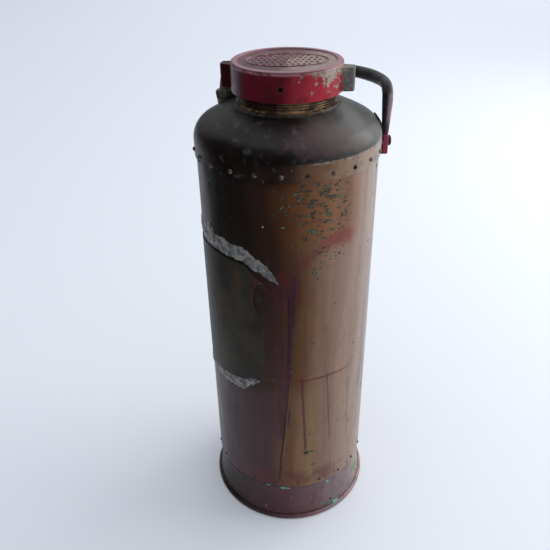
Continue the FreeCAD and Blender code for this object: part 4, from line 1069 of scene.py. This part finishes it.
def studio_sheet(name, mesh, material):
    """An object of the studio from a bmesh and its material."""
    data = bpy.data.meshes.new(name)
    mesh.to_mesh(data)
    mesh.free()
    data.materials.append(material)
    sheet = bpy.data.objects.new(name, data)
    bpy.context.scene.collection.objects.link(sheet)
    return sheet


def round_floor():
    """A pale flat round floor, wide enough that the camera above never sees its edge."""
    mesh = bmesh.new()
    middle = mesh.verts.new((0, 0, 0))
    rings = []
    for radius in FLOOR_RINGS:
        angles = [2 * math.pi * step / FLOOR_SPOKES for step in range(FLOOR_SPOKES)]
        rings.append([mesh.verts.new((radius * math.cos(a), radius * math.sin(a), 0)) for a in angles])
    for step in range(FLOOR_SPOKES):
        after = (step + 1) % FLOOR_SPOKES
        mesh.faces.new([middle, rings[0][step], rings[0][after]])
        for ring, outer in zip(rings, rings[1:]):
            mesh.faces.new([ring[step], outer[step], outer[after], ring[after]])
    p = Paint("floor_white", specular=0.2)
    soft = p.noise(0.6, 2.0)
    floor = studio_sheet("floor", mesh, p.finish(p.mix(p.times(soft, 0.1), "floor", "sky"), 0.8))


def dark_card():
    """A dark card that stands in front of the object's dark side, out of the picture, to be mirrored in it."""
    mesh = bmesh.new()
    rows = []
    for height in (CARD_LOW, CARD_HIGH):
        row = []
        for step in range(CARD_STEPS + 1):
            angle = math.radians(CARD_TURNS[0] + (CARD_TURNS[1] - CARD_TURNS[0]) * step / CARD_STEPS)
            row.append(mesh.verts.new((CARD_AWAY * math.cos(angle), CARD_AWAY * math.sin(angle), height)))
        rows.append(row)
    for step in range(CARD_STEPS):
        mesh.faces.new([rows[0][step], rows[0][step + 1], rows[1][step + 1], rows[1][step]])
    p = Paint("card_black", specular=0.1)
    card = studio_sheet("dark_card", mesh, p.finish(p.mix(p.noise(0.1), "near_black", "maroon_black"), 0.9))
    card.visible_camera = False
    card.visible_shadow = False
    card.visible_diffuse = False


def area_light(name, place, target, size, power, tint):
    """A soft rectangular light that faces a point."""
    data = bpy.data.lights.new(name, "AREA")
    data.shape = "RECTANGLE"
    data.size, data.size_y = size
    data.energy = power
    data.color = tint
    lamp = bpy.data.objects.new(name, data)
    bpy.context.scene.collection.objects.link(lamp)
    lamp.location = place
    lamp.rotation_mode = "QUATERNION"
    lamp.rotation_quaternion = (Vector(target) - Vector(place)).to_track_quat("-Z", "Y")


def set_world():
    """Pale for the eye; for light and reflections brightest overhead, and brighter towards the key light."""
    world = bpy.data.worlds.new("studio")
    bpy.context.scene.world = world
    world.use_nodes = True
    tree = world.node_tree
    back = tree.nodes["Background"]
    seen = tree.nodes.new("ShaderNodeBackground")
    seen.inputs["Color"].default_value = colour("sky")
    seen.inputs["Strength"].default_value = 1.0
    place = tree.nodes.new("ShaderNodeTexCoord").outputs["Generated"]
    angle = math.radians(KEY_TURN)
    strength = WORLD_BASE
    for direction, low, high, gain in (
        ((0, 0, 1), 0.0, 1.0, WORLD_OVERHEAD),
        ((math.cos(angle), math.sin(angle), 0), -0.1, 1.0, WORLD_ASIDE),
    ):
        towards = tree.nodes.new("ShaderNodeVectorMath")
        towards.operation = "DOT_PRODUCT"
        tree.links.new(place, towards.inputs[0])
        towards.inputs[1].default_value = direction
        spread = tree.nodes.new("ShaderNodeMapRange")
        tree.links.new(towards.outputs["Value"], spread.inputs["Value"])
        spread.inputs["From Min"].default_value = low
        spread.inputs["From Max"].default_value = high
        spread.inputs["To Max"].default_value = gain
        total = tree.nodes.new("ShaderNodeMath")
        tree.links.new(spread.outputs["Result"], total.inputs[0])
        if isinstance(strength, float):
            total.inputs[1].default_value = strength
        else:
            tree.links.new(strength, total.inputs[1])
        strength = total.outputs[0]
    tree.links.new(strength, back.inputs["Strength"])
    back.inputs["Color"].default_value = colour("sky")
    choose = tree.nodes.new("ShaderNodeMixShader")
    tree.links.new(tree.nodes.new("ShaderNodeLightPath").outputs["Is Camera Ray"], choose.inputs[0])
    tree.links.new(back.outputs[0], choose.inputs[1])
    tree.links.new(seen.outputs[0], choose.inputs[2])
    tree.links.new(choose.outputs[0], tree.nodes["World Output"].inputs[0])


def set_camera():
    """The camera, placed, turned, tipped and rolled by the values at the top."""
    heading = math.radians(CAMERA_HEADING)
    dip = math.radians(CAMERA_DIP)
    roll = math.radians(CAMERA_ROLL)
    ahead = Vector((math.cos(heading) * math.cos(dip), math.sin(heading) * math.cos(dip), -math.sin(dip)))
    level_right = Vector((math.sin(heading), -math.cos(heading), 0))
    level_up = level_right.cross(ahead)
    right = level_right * math.cos(roll) + level_up * math.sin(roll)
    up = level_up * math.cos(roll) - level_right * math.sin(roll)
    data = bpy.data.cameras.new("camera")
    data.lens = CAMERA_LENS
    data.sensor_width = SENSOR_WIDTH
    camera = bpy.data.objects.new("camera", data)
    bpy.context.scene.collection.objects.link(camera)
    turned = Matrix((right, up, -ahead)).transposed().to_4x4()
    camera.matrix_world = Matrix.Translation(CAMERA_PLACE) @ turned
    bpy.context.scene.camera = camera


round_floor()
dark_card()
set_world()
set_camera()
key_angle = math.radians(KEY_TURN)
key_place = Vector((math.cos(key_angle) * KEY_DISTANCE, math.sin(key_angle) * KEY_DISTANCE, KEY_HEIGHT))
area_light("key_light", key_place, (0, 0, OBJECT_HEIGHT / 2), KEY_SIZE, KEY_POWER, KEY_TINT)
area_light("back_light", BACK_PLACE, BACK_PLACE[:2] + (0,), BACK_SIZE, BACK_POWER, BACK_TINT)
bpy.context.scene.view_settings.view_transform = "Standard"
